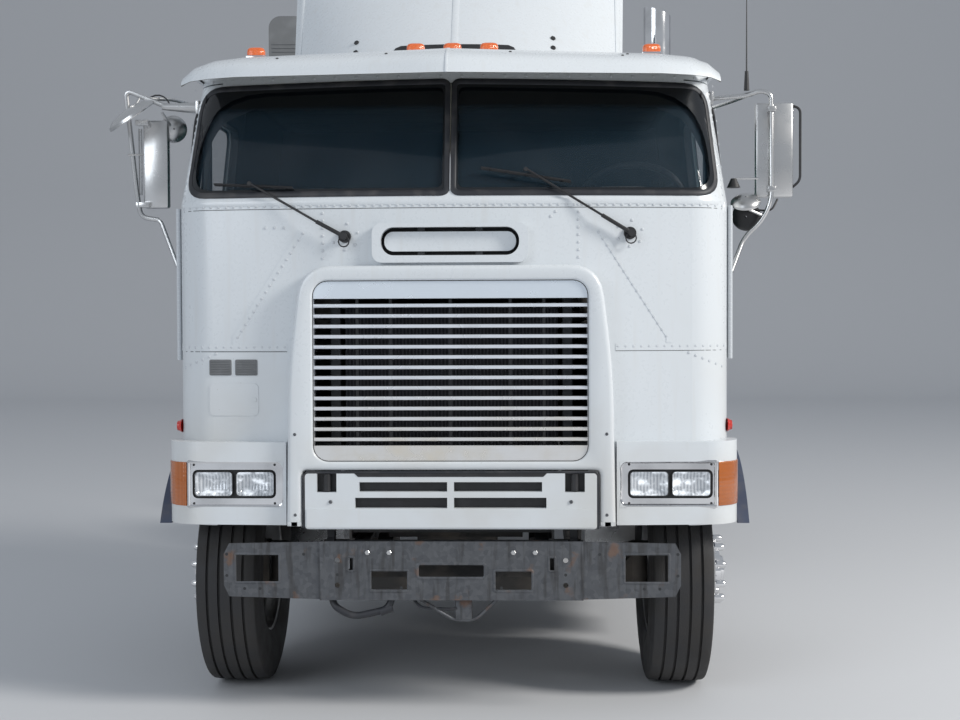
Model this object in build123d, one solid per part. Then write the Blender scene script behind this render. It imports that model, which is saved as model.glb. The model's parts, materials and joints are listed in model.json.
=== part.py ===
from build123d import *
import os
from math import cos, pi, radians, sin

# Cab-over-engine highway tractor with a sleeper cab and two driven rear axles.
# Millimetres, +Z up, ground at z = 0. The front faces -Y and +X is the driver's side.
# Lengths along the truck are written as d, measured back from the grille's front face.

# Driving dimensions of the whole truck
FRONT = -3210
FRAME_END = 6600
FRONT_AXLE = 730
DRIVE_AXLES = (4520, 5840)
TYRE_R = 508
TYRE_W = 280
RIM_R = 286
STEER_TRACK = 995
DUAL_CENTRES = (745, 1080)
KINGPIN_X = 835
RAIL_X = 432
RAIL_TOP = 1000
RAIL_DEEP = 270

# Cab
CAB_HALF = 1185
ROOF_HALF = 1120
CAB_REAR = 2330
WALL = 50
CAB_FRONT = 45
ROOF_FRONT = 245
BOW = 100
CORNER = 200
BACK_CORNER = 60
BELT = 2170
EAVES = 2760
ROOF = 2820
CAB_FOOT = 800
SKIRT = 1100
FLOOR = 1110
JAMB = 300
ROOF_CUT = 2740
PIVOT = (130, 720)
ARCH_R = 580
GAP = 6

# Door: hinge line outside the skin, so that the leaf swings clear of its jamb
DOOR = dict(front=310, rear=1200, sill=1200, head=2700)
DOOR_HINGE = (1200, 300)
SCREEN = [(12, 2200), (1130, 2200), (1095, 2690), (12, 2690)]
SCREEN_R = 90
PANE = dict(front=400, rear=1100, low=1980, high=2600, r=70)

# Steering wheel: middle as (x, d, z), and the way its shaft points
WHEEL_CENTRE = (800, 632, 2205)
WHEEL_AXIS = (0, 0.64, 0.7684)

# Grille, read from the front: half-widths and heights
OPENING = dict(half=573, low=1082, high=1835, r=65)
SLATS = 14
SLAT_LOW = 1174
SLAT_PITCH = 42.8
SLAT_TALL = 15

# Floor and the tunnel over the engine
FLOOR_THICK = 40
TUNNEL_HALF = 470
TUNNEL_WALL = 40
TUNNEL_END = 2000
TUNNEL_TOP = 1660
NOSE_TOP = 1818
NOSE_END = 840
LUG = (500, 530)
EYE_R = 34
PIVOT_PIN_R = 20
RUNNING = 0.5

# Headlamp corners: height of the pieces' foot and top, lamp pocket, and what is cut away behind
# the foot so that the tilting cab passes over the bumper channel
CORNER_FOOT = 812
CORNER_TOP = 1160
POCKET = (705, 1109, 887, 1076)
AMBER_BOX = (1112, 1300, 925, 1038)
FOOT_RELIEF = dict(half=1000, face=85, top=860)
VALANCE = dict(half=607, low=801, high=1033, mouth=620, lintel=1045)

# Vent in the front panel: opening and flap as half-width, low and high
LAMP_R = 27
LAMP_TOP = 2888
VENT = (288, 1939, 2056)
FLAP = (275, 1957, 2039)

# Piano hinge on the door's front edge
HINGE_LOW = 1500
HINGE_HIGH = 2160
HINGE_R = 9

# Bumper channel
CHANNEL_HALF = 552
CHANNEL_LOW = 498
CHANNEL_HIGH = 745
CHANNEL_FACE = (30, 38)
CHANNEL_LIP = 80
WING_FACE = (38, 46)

# Steering and coupling
ARM = 220
TANK_AXIS = (930, 660)
TANK_R = 305
TANK_FROM = 1850
TANK_TO = 3150
TANK_DISH = 34
MUFFLER_R = 125
PIPE_R = 79.5
CANISTER_R = 190
TIE_ROD_DROP = 160
FIFTH_PIN = 1110
FIFTH_TOP = 1220
PLATE_THICK = 40
JAW_R = 25.8

# Wheels: numbers of flats, then the circles of studs and hand holes
RIM_SIDES = 24
TYRE_SIDES = 32
DISC_SIDES = 20
HUB_SIDES = 16
STUD_CIRCLE_R = 142.9
HAND_HOLES_R = 222
WHEEL_HOLES = 10
DISC_THICK = 14

os.makedirs("parts", exist_ok=True)


def at(d):
    """Y of a place d behind the grille's face."""
    return FRONT + d


def slab(x0, x1, d0, d1, z0, z1):
    """A box between two corners."""
    return Pos((x0 + x1) / 2, at((d0 + d1) / 2), (z0 + z1) / 2) * Box(x1 - x0, d1 - d0, z1 - z0)


def from_front(face, d0, d1):
    """A face drawn in X and Z, made solid between two places along the truck."""
    plane = Plane(origin=(0, at(d1), 0), x_dir=(1, 0, 0), z_dir=(0, -1, 0))
    return extrude(plane * face, d1 - d0)


def from_side(face, x0, x1):
    """A face drawn in d and Z, made solid between two widths."""
    plane = Plane(origin=(x0, FRONT, 0), x_dir=(0, 1, 0), z_dir=(1, 0, 0))
    return extrude(plane * face, x1 - x0)


def from_top(face, z0, z1):
    """A face drawn in X and d, made solid between two heights."""
    return extrude(Pos(0, FRONT, z0) * face, z1 - z0)


def pane(x0, x1, z0, z1, r):
    """A rounded rectangle between two corners."""
    return Pos((x0 + x1) / 2, (z0 + z1) / 2) * RectangleRounded(x1 - x0, z1 - z0, r)


def outline(*points):
    return make_face(Polyline(*points, close=True))


def place(x, d, z):
    return Vector(x, at(d), z)


def pin(p, q, r):
    """A truly round bar between two places (x, d, z)."""
    a = place(*p)
    run = place(*q) - a
    return extrude(Plane(origin=a, z_dir=run) * Circle(r), run.length)


def cone(p, q, r, tip):
    """A cone's frustum from p to q."""
    start, end = place(*p), place(*q)
    length = (end - start).length
    plane = Plane(origin=start, z_dir=end - start)
    return plane * Cone(r, tip, length, align=(Align.CENTER, Align.CENTER, Align.MIN))


def rod(p, q, r, sides=10):
    """A bar with many flats between two places (x, d, z)."""
    a = place(*p)
    run = place(*q) - a
    return extrude(Plane(origin=a, z_dir=run) * RegularPolygon(r, sides), run.length)


def across(x0, x1, d, z, r):
    """A truly round bar along X."""
    return pin((x0, d, z), (x1, d, z), r)


def pair(shape):
    """A shape of the driver's side with its mirror image."""
    return shape + mirror(shape, Plane.YZ)


def other(shape):
    return mirror(shape, Plane.YZ)


def joined(shapes):
    total = shapes[0]
    for shape in shapes[1:]:
        total = total + shape
    return total


def save(name, shape):
    export_step(shape, f"parts/{name}.step")


# Cab panels, all cut from one bowed form with leaning upper walls

def cab_section(half, front, z, inset):
    w = half - inset
    nose = front + inset
    side = nose + BOW
    rear = CAB_REAR - inset
    rim = [
        ThreePointArc((-w, side), (0, nose), (w, side)),
        Line((w, side), (w, rear)),
        Line((w, rear), (-w, rear)),
        Line((-w, rear), (-w, side)),
    ]
    face = make_face(rim)
    face = fillet(face.vertices().sort_by(Axis.Y)[:2], CORNER - inset)
    face = fillet(face.vertices().sort_by(Axis.Y)[-2:], max(BACK_CORNER - inset, 10))
    return Pos(0, FRONT, z) * face


def cab_form(inset, foot):
    """The cab as one solid, its skin moved in by inset."""
    belt = cab_section(CAB_HALF, CAB_FRONT, BELT, inset)
    eaves = cab_section(ROOF_HALF, ROOF_FRONT, EAVES, inset)
    lower = extrude(belt, foot - BELT)
    upper = loft([belt.face(), eaves.face()], ruled=True)
    roof = extrude(eaves, ROOF - inset - EAVES)
    if inset < 50:
        roof = fillet(roof.edges().group_by(Axis.Z)[-1], 50 - inset)
    return lower + upper + roof


def vent(size, r):
    half, low, high = size
    return pane(-half, half, low, high, r)


def mouth():
    """The gap that the valance fills, read from the front."""
    half, lintel = VALANCE["mouth"], VALANCE["lintel"]
    return outline((-half, CAB_FOOT - 10), (half, CAB_FOOT - 10), (half, lintel), (-half, lintel))


skin = cab_form(0, CAB_FOOT)
inside = cab_form(WALL, CAB_FOOT - 20)
shell = skin - inside

screen_half = fillet(outline(*SCREEN).vertices().filter_by(lambda v: v.X > 100), SCREEN_R)
windshield_gap = pair(from_front(screen_half, -100, 360))
grille_hole = from_front(pane(-OPENING["half"], OPENING["half"], OPENING["low"], OPENING["high"],
                              OPENING["r"]), -100, 200)
vent_hole = from_front(vent(VENT, 55), -100, 200)
door_hole = slab(1000, 1300, DOOR["front"] - GAP, DOOR["rear"] + GAP, DOOR["sill"] - GAP, DOOR["head"] + GAP)
door_block = slab(1000, 1300, DOOR["front"], DOOR["rear"], DOOR["sill"], DOOR["head"])
pane_prism = from_side(pane(PANE["front"], PANE["rear"], PANE["low"], PANE["high"], PANE["r"]), 1000, 1300)
arch = across(500, 1400, FRONT_AXLE, TYRE_R, ARCH_R)
skirt_cut = slab(-1300, 1300, 1360, 2400, CAB_FOOT - 50, SKIRT)


def cab_front():
    zone = slab(-1300, 1300, -200, JAMB, CAB_FOOT - 10, ROOF_CUT)
    front = shell & zone
    front = front - windshield_gap - grille_hole - vent_hole - pair(arch)
    x0, x1, z0, z1 = POCKET
    front = front - from_front(mouth(), -100, 200) - pair(slab(x0, x1, -100, 135, z0, z1))
    relief = FOOT_RELIEF["half"]
    front = front - slab(-relief, relief, -100, JAMB, CAB_FOOT - 10, FOOT_RELIEF["top"])
    vent_frame = from_front(pane(-324, 324, 1909, 2073, 40) - vent(VENT, 55), 20, 90)
    flap = from_front(vent(FLAP, 38), 55, 70)
    tabs = from_front(pair(Pos(121, 1998) * Rectangle(30, 118)), 60, 75)
    return front + (vent_frame - skin) + flap + tabs


def cab_side():
    """Driver's side behind the jamb, round the door."""
    zone = slab(600, 1300, JAMB, CAB_REAR - WALL, CAB_FOOT - 10, ROOF_CUT)
    return (shell & zone) - door_hole - arch - skirt_cut


def cab_back():
    zone = slab(-1300, 1300, CAB_REAR - WALL, CAB_REAR + 10, SKIRT, ROOF_CUT)
    return shell & zone


def cab_roof():
    return shell & slab(-1300, 1300, -200, 2500, ROOF_CUT, ROOF + 50)


def cab_floor():
    """Flat floor, open over the engine, with the two lugs that the cab tilts on."""
    plate = slab(-CAB_HALF, CAB_HALF, 0, CAB_REAR, FLOOR, FLOOR + FLOOR_THICK) & inside
    opening = slab(-TUNNEL_HALF, TUNNEL_HALF, 0, TUNNEL_END, FLOOR - 1, FLOOR + FLOOR_THICK + 1)
    d, z = PIVOT
    arm = outline((132, FLOOR), (210, FLOOR), (163, z), (d - 18, z))
    eye = Pos(d, z) * Circle(EYE_R)
    lug = from_side(arm + eye - Pos(d, z) * Circle(PIVOT_PIN_R + RUNNING), *LUG)
    return plate - opening + pair(lug)


def engine_tunnel():
    """Cover over the engine between the seats, higher at the nose to clear the radiator."""
    outer = TUNNEL_HALF + TUNNEL_WALL
    foot = FLOOR + FLOOR_THICK
    hump = slab(-outer, outer, 0, TUNNEL_END + TUNNEL_WALL, foot, TUNNEL_TOP)
    nose = slab(-outer, outer, 0, NOSE_END, foot, NOSE_TOP)
    hollow = slab(-TUNNEL_HALF, TUNNEL_HALF, 0, TUNNEL_END, foot - 1, TUNNEL_TOP - TUNNEL_WALL)
    nose_hollow = slab(-TUNNEL_HALF, TUNNEL_HALF, 0, NOSE_END - TUNNEL_WALL, foot - 1,
                       NOSE_TOP - TUNNEL_WALL)
    return ((hump + nose) & inside) - hollow - nose_hollow


def windshield():
    sheet = cab_form(14, CAB_FOOT) - cab_form(20, CAB_FOOT - 20)
    return sheet & windshield_gap & slab(-1200, 1200, 0, JAMB - 4, 2100, 2760)


def grille_frame():
    outer = outline((-685, 810), (-675, 1460), (-620, 1790), (-620, 1897), (620, 1897), (620, 1790),
                    (675, 1460), (685, 810))
    outer = fillet(outer.vertices().filter_by(lambda v: v.Y > 1850), 70)
    hole = pane(-OPENING["half"], OPENING["half"], OPENING["low"], OPENING["high"], OPENING["r"])
    return from_front(outer - hole - mouth(), 0, 160) - skin


def grille():
    half = OPENING["half"]
    border = pane(-half, half, OPENING["low"], OPENING["high"], OPENING["r"])
    window = Pos(0, (1148 + 1760) / 2) * Rectangle(2 * half - 44, 1760 - 1148)
    surround = from_front(border - window, 12, 30)
    slats = [slat(SLAT_LOW + n * SLAT_PITCH) for n in range(SLATS)]
    struts = [slab(x - 6, x + 6, 28, 46, 1100, 1800) for x in (-390, -250, 0, 250, 390)]
    return joined([surround] + slats + struts)


def slat(z):
    """One louvre of the grille: a rolled nose with a blade that falls away behind it."""
    tall = SLAT_TALL / 2
    section = outline((12, z - 3), (12, z + 3), (17, z + tall), (24, z + tall), (42, z - 2), (42, z - tall),
                      (24, z - tall), (17, z - tall))
    return from_side(section, 15 - OPENING["half"], OPENING["half"] - 15)


def valance():
    plate = pane(-VALANCE["half"], VALANCE["half"], VALANCE["low"], VALANCE["high"], 14)
    # columns: half-widths from and to, heights from and to
    slots = [(14, 380, 957, 997), (14, 398, 888, 932), (475, 557, 955, 1034)]
    for x0, x1, z0, z1 in slots:
        for side in (-1, 1):
            plate = plate - Pos(side * (x0 + x1) / 2, (z0 + z1) / 2) * Rectangle(x1 - x0, z1 - z0)
    lip = slab(-600, 600, -6, 6, 808, 885)
    return from_front(plate, 0, 30) + lip


def corner_block():
    """One headlamp corner as a solid, from the grille round to the wheel arch."""
    plan = [
        Line((692, 40), (1075, 62)),
        TangentArc((1075, 62), (1205, 257), tangent=(1, 0.057)),
        Line((1205, 257), (692, 257)),
        Line((692, 257), (692, 40)),
    ]
    hollow = slab(0, 1150, 190, 300, 700, 1200)
    relief = slab(0, FOOT_RELIEF["half"], FOOT_RELIEF["face"], 300, 700, FOOT_RELIEF["top"])
    return from_top(make_face(plan), CORNER_FOOT, CORNER_TOP) - hollow - relief - skin


def amber_box():
    x0, x1, z0, z1 = AMBER_BOX
    return slab(x0, x1, 0, 232, z0, z1)


def corner_panels():
    x0, x1, z0, z1 = POCKET
    return pair(corner_block() - slab(x0, x1, 0, 135, z0, z1) - amber_box() - arch)


def headlamps():
    bezel = from_front(pane(*POCKET, 20), 72, 125)
    lamps = [from_front(pane(x - 82, x + 82, 928, 1035, 8), 52, 125) for x in (829, 1005)]
    return pair(joined([bezel] + lamps))


def turn_lamps():
    return pair(corner_block() & amber_box())


def visor():
    """Sun visor: a bent sheet swept back from the middle in a V, its ends drawn down to a point."""
    # columns: half-width, then (d, z) of the outer face at the lip, bend, brow and root
    rows = [(0, (-208, 2655), (-160, 2735), (0, 2790), (300, 2824)),
            (870, (-43, 2655), (5, 2733), (150, 2785), (320, 2816)),
            (1125, (18, 2655), (34, 2668), (110, 2694), (330, 2744))]
    rings = []
    for x, lip, bend, brow, root in rows:
        inner = [(root[0], root[1] - 12), (brow[0] + 3, brow[1] - 12), (bend[0] + 11, bend[1] - 7),
                 (lip[0] + 12, lip[1])]
        plane = Plane(origin=(x, FRONT, 0), x_dir=(0, 1, 0), z_dir=(1, 0, 0))
        rings.append((plane * outline(lip, bend, brow, root, *inner)).face())
    return pair(loft(rings, ruled=True)) - skin


def fairing(rows):
    """A body through flat rings of (height, half-width, nose, shoulder, back), bowed at the front."""
    rings = []
    for z, half, nose, shoulder, back in rows:
        rim = [
            ThreePointArc((-half, shoulder), (0, nose), (half, shoulder)),
            Line((half, shoulder), (half, back)),
            Line((half, back), (-half, back)),
            Line((-half, back), (-half, shoulder)),
        ]
        rings.append((Pos(0, FRONT, z) * make_face(rim)).face())
    return loft(rings, ruled=True)


def roof_deflector():
    """Air deflector, a shell open to the roof and to the rear."""
    outer = fairing([(ROOF, 775, 440, 850, 1750), (3510, 810, 1050, 1250, 1760)])
    return outer - fairing([(ROOF - 2, 762, 453, 863, 1850), (3497, 797, 1063, 1263, 1850)])


def marker_lamps():
    lamps = []
    foot = chamfer(Rectangle(66, 56).vertices(), 14)
    for x in (-870, -160, 0, 160, 870):
        d = 338 + BOW * (x / ROOF_HALF) ** 2
        lens = extrude(Circle(LAMP_R), LAMP_TOP - ROOF, taper=5)
        lamps.append(Pos(x, at(d), ROOF) * (extrude(foot, 30) + lens))
    return joined(lamps)


def wipers():
    # columns: pivot x and z, arm's end x and z, blade's ends x and z
    rows = [(-440, 2020, -844, 2240, -1000, 2242, -660, 2222), (750, 2030, 315, 2290, 129, 2300, 503, 2240)]
    parts = []
    for px, pz, ax, az, bx, bz, cx, cz in rows:
        pivot = rod((px, 20, pz), (px, skin_at(px, pz) + 10, pz), 18)
        arm = rod((px, 24, pz), (ax, skin_at(ax, az) - 30, az), 8)
        blade = rod((bx, skin_at(bx, bz) - 24, bz), (cx, skin_at(cx, cz) - 24, cz), 9)
        parts += [pivot, arm, blade]
    return joined(parts) - skin


def skin_at(x, z):
    """How far back the cab's front skin is at a place, within the flat of the bow."""
    lean = max(0, z - BELT) / (EAVES - BELT)
    flat = CAB_FRONT + lean * (ROOF_FRONT - CAB_FRONT)
    half = CAB_HALF + lean * (ROOF_HALF - CAB_HALF)
    bow = BOW * (x / half) ** 2
    edge = max(0, abs(x) - (half - CORNER))
    return flat + bow + CORNER - (CORNER ** 2 - edge ** 2) ** 0.5


def arch_flares():
    ring = Pos(FRONT_AXLE, TYRE_R) * (Circle(ARCH_R + 22) - Circle(ARCH_R))
    lip = Pos(FRONT_AXLE, TYRE_R) * (Circle(ARCH_R + 62) - Circle(ARCH_R))
    keep = Pos(FRONT_AXLE, TYRE_R + 290 + 400) * Rectangle(1400, 800)
    band = from_side(ring & keep, CAB_HALF, 1268)
    face = from_side(lip & keep, CAB_HALF, CAB_HALF + 12)
    return pair((band + face) - slab(1100, 1218, 100, 262, 700, 1165))


def dash():
    block = from_side(outline((60, 1820), (430, 1820), (500, 1960), (440, 2110), (60, 2140)), -1100, 1100)
    x, d, z = WHEEL_CENTRE
    _, back, up = WHEEL_AXIS
    column = rod((x, d - 330 * back, z - 330 * up), (x, d - 45 * back, z - 45 * up), 30)
    socket = pin((x, d - 110 * back, z - 110 * up), (x, d - 40 * back, z - 40 * up), 12.5)
    return (block & inside) + column - socket


def seats():
    profile = outline((640, 1150), (1080, 1150), (1080, 1500), (1180, 1560), (1290, 2330), (1170, 2350),
                      (1060, 1680), (620, 1650), (620, 1520), (700, 1480))
    return pair(from_side(profile, 545, 1045))


def bunk():
    base = slab(-1120, 1120, 1560, 2270, 1664, 1720)
    bed = slab(-1110, 1110, 1570, 2260, 1720, 1860)
    legs = pair(slab(530, 1120, 1600, 2270, FLOOR + 40, 1664))
    return base + bed + legs


def steering_wheel():
    plane = Plane(origin=place(*WHEEL_CENTRE), x_dir=(1, 0, 0), z_dir=WHEEL_AXIS)
    outer = spool(plane, [(-13, 238), (0, 251), (13, 238)], 24)
    inner = spool(plane, [(-13, 232), (0, 219), (13, 232)], 24)
    hub = extrude(plane * RegularPolygon(58, 12), 20) + extrude(plane * RegularPolygon(58, 12), -40)
    shaft = extrude(plane * Circle(12), -100)
    spokes = [extrude(plane * Rot(0, 0, a) * Pos(135, 0) * Rectangle(184, 34), 8) for a in (90, 210, 330)]
    return joined([outer - inner, hub, shaft] + spokes)


# Doors with their glass and mirrors

def door():
    leaf = (shell & door_block) - pane_prism
    handle = slab(CAB_HALF, CAB_HALF + 34, 1060, 1160, 1640, 1668)
    x, d = DOOR_HINGE
    barrel = pin((x, d, HINGE_LOW), (x, d, HINGE_HIGH), HINGE_R)
    web = slab(x - 8, x - 2, d, d + 16, HINGE_LOW, HINGE_HIGH)
    strap = slab(CAB_HALF, x - 2, d + 12, d + 36, HINGE_LOW, HINGE_HIGH)
    return joined([leaf, handle, strap, web, barrel])


def door_glass():
    return (cab_form(20, CAB_FOOT) - cab_form(26, CAB_FOOT - 20)) & pane_prism


def mirrors_left():
    head = from_front(pane(1332, 1498, 2207, 2623, 30), 440, 490)
    post = rod((1352, 430, 2180), (1352, 430, 2660), 12)
    arms = [rod((1120, 470, 2655), (1352, 430, 2652), 11), rod((1130, 560, 2640), (1352, 430, 2640), 11)]
    loop = [rod((1352, 430, 2610), (1530, 430, 2600), 8), rod((1528, 430, 2600), (1528, 430, 2260), 8),
            rod((1530, 430, 2258), (1352, 430, 2230), 8)]
    strut = [rod((1352, 430, 2190), (1170, 470, 1872), 10), rod((1352, 430, 2200), (1262, 420, 2130), 8)]
    rounds = rod((1262, 395, 2130), (1262, 425, 2130), 70)
    whip = rod((1290, 446, 2640), (1290, 446, 3120), 5) + rod((1290, 446, 2630), (1290, 446, 2700), 14)
    return joined([head, post] + arms + loop + strut + [rounds, whip]) - skin


def mirrors_right():
    head = from_front(pane(-1391, -1278, 2175, 2568, 30), 440, 490)
    post = rod((-1400, 430, 2080), (-1400, 430, 2660), 12)
    arms = [rod((-1120, 470, 2655), (-1400, 430, 2652), 11), rod((-1130, 560, 2640), (-1400, 430, 2640), 11)]
    loop = [rod((-1400, 430, 2610), (-1530, 430, 2590), 8), rod((-1528, 430, 2600), (-1528, 430, 2290), 8),
            rod((-1530, 430, 2290), (-1400, 430, 2260), 8)]
    strut = [rod((-1400, 430, 2090), (-1170, 470, 1900), 10), rod((-1330, 462, 2180), (-1400, 430, 2150), 9)]
    rounds = rod((-1455, 395, 2560), (-1455, 425, 2560), 72) + rod((-1455, 425, 2560), (-1400, 432, 2560), 9)
    return joined([head, post] + arms + loop + strut + [rounds]) - skin


# Chassis

def frame():
    top, low = RAIL_TOP, RAIL_TOP - RAIL_DEEP
    web = Pos(RAIL_X - 5, (top + low) / 2) * Rectangle(10, RAIL_DEEP)
    flange = Rectangle(80, 10)
    channel = web + Pos(RAIL_X - 40, top - 5) * flange + Pos(RAIL_X - 40, low + 5) * flange
    rail = from_front(channel, 80, FRAME_END - 20)
    drop = slab(RAIL_X - 22, RAIL_X, 80, 420, 520, low + 20)
    pivot = across(RAIL_X - 22, 545, *PIVOT, PIVOT_PIN_R)
    rails = pair(rail + drop + pivot)
    # columns: along the truck from and to, heights from and to
    members = [(230, 300, 560, 640), (2480, 2540, 910, 980), (3300, 3360, 820, 980), (4150, 4210, 760, 980),
               (5150, 5210, 760, 980), (6520, 6600, 750, 990)]
    cross = [slab(-RAIL_X + 5, RAIL_X - 5, d0, d1, z0, z1) for d0, d1, z0, z1 in members]
    cradle = slab(-RAIL_X + 5, RAIL_X - 5, 120, 230, 770, 850)
    return joined([rails] + cross + [cradle])


def bumper_channel():
    """Pressed channel that carried the bumper; its upper lip is notched for the cab's pivot lugs."""
    half, low, high = CHANNEL_HALF, CHANNEL_LOW, CHANNEL_HIGH
    centre = from_front(pane(-half, half, low, high, 6), *CHANNEL_FACE)
    lips = [slab(-half, half, CHANNEL_FACE[0], CHANNEL_LIP, z, z + 8) for z in (low, high - 8)]
    notch = slab(LUG[0] - 12, LUG[1] + 12, CHANNEL_FACE[1], CHANNEL_LIP + 1, high - 20, high + 1)
    wing = outline((548, 500), (935, 512), (958, 560), (958, 690), (935, 735), (548, 743))
    channel = joined([centre, *lips, pair(from_front(wing, *WING_FACE))]) - pair(notch)
    # columns: centre x and z, width and height of the holes
    holes = [(816, 631, 188, 121), (260, 580, 160, 89), (421, 650, 27, 60)]
    cuts = [Pos(x, z) * Rectangle(w, h) for x, z, w, h in holes]
    cuts += [Pos(478, z) * Circle(11) for z in (561, 665)]
    for cut in cuts:
        channel = channel - pair(from_front(cut, 0, 70))
    return channel - from_front(pane(-142, 142, 591, 652, 12), 0, 70)


def engine():
    block = slab(-300, 300, 450, 1500, 700, 1550)
    sump = slab(-180, 180, 560, 1450, 620, 700)
    housing = slab(-240, 240, 1500, 1700, 660, 1300)
    gearbox = slab(-190, 190, 1700, 2350, 680, 1020)
    return block + sump + housing + gearbox


def radiator():
    return slab(-450, 450, 125, 215, RAIL_TOP + 2, 1720) + slab(-345, 345, 125, 215, 850, RAIL_TOP + 2)


def front_axle():
    d, z = FRONT_AXLE, TYRE_R
    k = KINGPIN_X
    beam = slab(80 - k, k - 80, d - 45, d + 45, z - 90, z - 10)
    end = outline((k - 110, z - 90), (k, z - 60), (k, z + 60), (k - 40, z + 60), (k - 110, z - 10))
    end = from_front(end, d - 35, d + 35)
    boss = from_top(Pos(k, d) * Circle(45), z - 70, z + 80)
    bore = from_top(Pos(k, d) * Circle(20.5), z - 120, z + 140)
    leaf = [
        ThreePointArc((240, 700), (d, 540), (1380, 700)),
        Line((1380, 700), (1380, 730)),
        ThreePointArc((1380, 730), (d, 600), (240, 730)),
        Line((240, 730), (240, 700)),
    ]
    spring = from_side(make_face(leaf), 330, 405)
    saddle = slab(320, 415, d - 70, d + 70, z - 10, 560)
    return beam + pair(end + boss - bore) + pair(spring + saddle)


def rear_bogie():
    z = TYRE_R
    parts = []
    for d in DRIVE_AXLES:
        parts += [rod((-590, d, z), (590, d, z), 72, 12), across(-1040, 1040, d, z, 44)]
        parts += [rod((0, d - 110, z), (0, d + 150, z), 188, 16),
                  rod((0, d - 300, 620), (0, d - 40, 600), 62, 12)]
    mid = sum(DRIVE_AXLES) / 2
    beam = outline((DRIVE_AXLES[0], z - 60), (mid, z - 110), (DRIVE_AXLES[1], z - 60),
                   (DRIVE_AXLES[1], z + 60),
                   (mid, z + 90), (DRIVE_AXLES[0], z + 60))
    parts.append(pair(from_side(beam, 480, 560)))
    parts.append(pair(slab(RAIL_X, 560, mid - 120, mid + 120, z, 880)))
    parts.append(rod((-560, mid, z), (560, mid, z), 50))
    parts.append(rod((0, DRIVE_AXLES[0] + 60, 590), (0, DRIVE_AXLES[1] - 260, 618), 45))
    parts.append(rod((0, 2362, 850), (0, DRIVE_AXLES[0] - 250, 625), 50))
    return joined(parts)


def fuel_tanks():
    x, z = TANK_AXIS
    tank = pin((x, TANK_FROM, z), (x, TANK_TO, z), TANK_R)
    fore = cone((x, TANK_FROM, z), (x, TANK_FROM - TANK_DISH, z), TANK_R, 0.6 * TANK_R)
    aft = cone((x, TANK_TO, z), (x, TANK_TO + TANK_DISH, z), TANK_R, 0.6 * TANK_R)
    neck = pin((x + 60, 1980, z), (x + 60, 1980, z + TANK_R + 40), 50)
    straps = [pin((x, d, z), (x, d + 60, z), TANK_R + 4) for d in (2100, 2800)]
    hanger = [slab(RAIL_X, 720, d, d + 60, 780, 960) for d in (2100, 2800)]
    return pair(joined([tank, fore, aft, neck] + straps + hanger))


def side_boxes():
    box = slab(620, 1200, 1385, 1780, 420, 1040)
    steps = [slab(1040, 1300, 1400, 1765, z, z + 150) for z in (520, 790)]
    bracket = slab(RAIL_X, 620, 1480, 1700, 800, 960)
    return pair(box - steps[0] - steps[1] + bracket)


def deck_plate():
    return slab(-600, 600, 2460, 3250, RAIL_TOP, RAIL_TOP + 12)


def exhaust_stack():
    x, d = 1105, 2560
    stand = slab(RAIL_X, x + 60, d - 60, d + 60, 1012, 1100)
    muffler = pin((x, d, 1100), (x, d, 2500), MUFFLER_R)
    shoulder = cone((x, d, 2500), (x, d, 2560), MUFFLER_R, PIPE_R)
    pipe = pin((x, d, 2500), (x, d, 3520), PIPE_R)
    slant = Pos(x, at(d), 3520) * Rot(0, 18, 0) * Box(400, 400, 60)
    return stand + muffler + shoulder + (pipe - slant)


def air_intake():
    x, d = -1010, 2560
    stand = slab(x - 60, -RAIL_X, d - 60, d + 60, 1012, 1100)
    canister = pin((x, d, 1100), (x, d, 2150), CANISTER_R)
    crown = cone((x, d, 2150), (x, d, 2185), CANISTER_R, 0.75 * CANISTER_R)
    duct = slab(-1190, -970, d - 60, d + 60, 2100, 3475)
    duct = fillet(duct.edges().group_by(Axis.Z)[-1].filter_by(Axis.Y), 70)
    return stand + canister + crown + duct


def fifth_wheel_base():
    mid = sum(DRIVE_AXLES) / 2
    plate = slab(-470, 470, mid - 400, mid + 400, RAIL_TOP, RAIL_TOP + 14)
    d, z = mid, FIFTH_PIN
    ear = from_side(outline((d - 130, 1014), (d + 130, 1014), (d + 40, z + 34), (d - 40, z + 34))
                    - Pos(d, z) * Circle(18.5), 400, 430)
    return plate + pair(ear)


def fifth_wheel():
    mid = sum(DRIVE_AXLES) / 2
    half = 470
    disc = Circle(half) & Rectangle(2 * half, 860)
    plan = Pos(0, mid) * (disc + outline((-440, 150), (-350, 600), (350, 600), (440, 150)))
    throat = Pos(0, mid) * outline((-JAW_R, 0), (-JAW_R, 60), (-220, 700), (220, 700), (JAW_R, 60),
                                   (JAW_R, 0))
    jaw = Pos(0, mid) * Circle(JAW_R)
    plate = from_top(plan - throat - jaw, FIFTH_TOP - PLATE_THICK, FIFTH_TOP)
    lug = slab(360, 395, mid - 60, mid + 60, FIFTH_PIN - 40, FIFTH_TOP - PLATE_THICK)
    trunnion = across(360, 440, mid, FIFTH_PIN, 18)
    return plate + pair(lug + trunnion)


def mudflaps():
    arm = across(RAIL_X, 1180, 6440, 960, 22)
    flap = slab(640, 1210, 6434, 6446, 330, 985)
    return pair(arm + flap)


# Steering

def knuckle():
    k, d, z = KINGPIN_X, FRONT_AXLE, TYRE_R
    post = slab(k + 50, k + 90, d - 45, d + 45, z - 125, z + 135)
    ears = [from_top(Pos(k, d) * Circle(42) + Pos(k + 45, d) * Rectangle(60, 84), z0, z0 + 38)
            for z0 in (z - 125, z + 90)]
    kingpin = from_top(Pos(k, d) * Circle(20), z - 125, z + 130)
    spindle = across(k + 85, 1170, d, z, 40)
    arm_plan = Pos(k, d + 110) * Rectangle(36, 200) + Pos(k, d + ARM) * Circle(22)
    arm = from_top(arm_plan - Pos(k, d + ARM) * Circle(12.5), z - 125, z - 97)
    return joined([post] + ears + [kingpin, spindle, arm])


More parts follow.
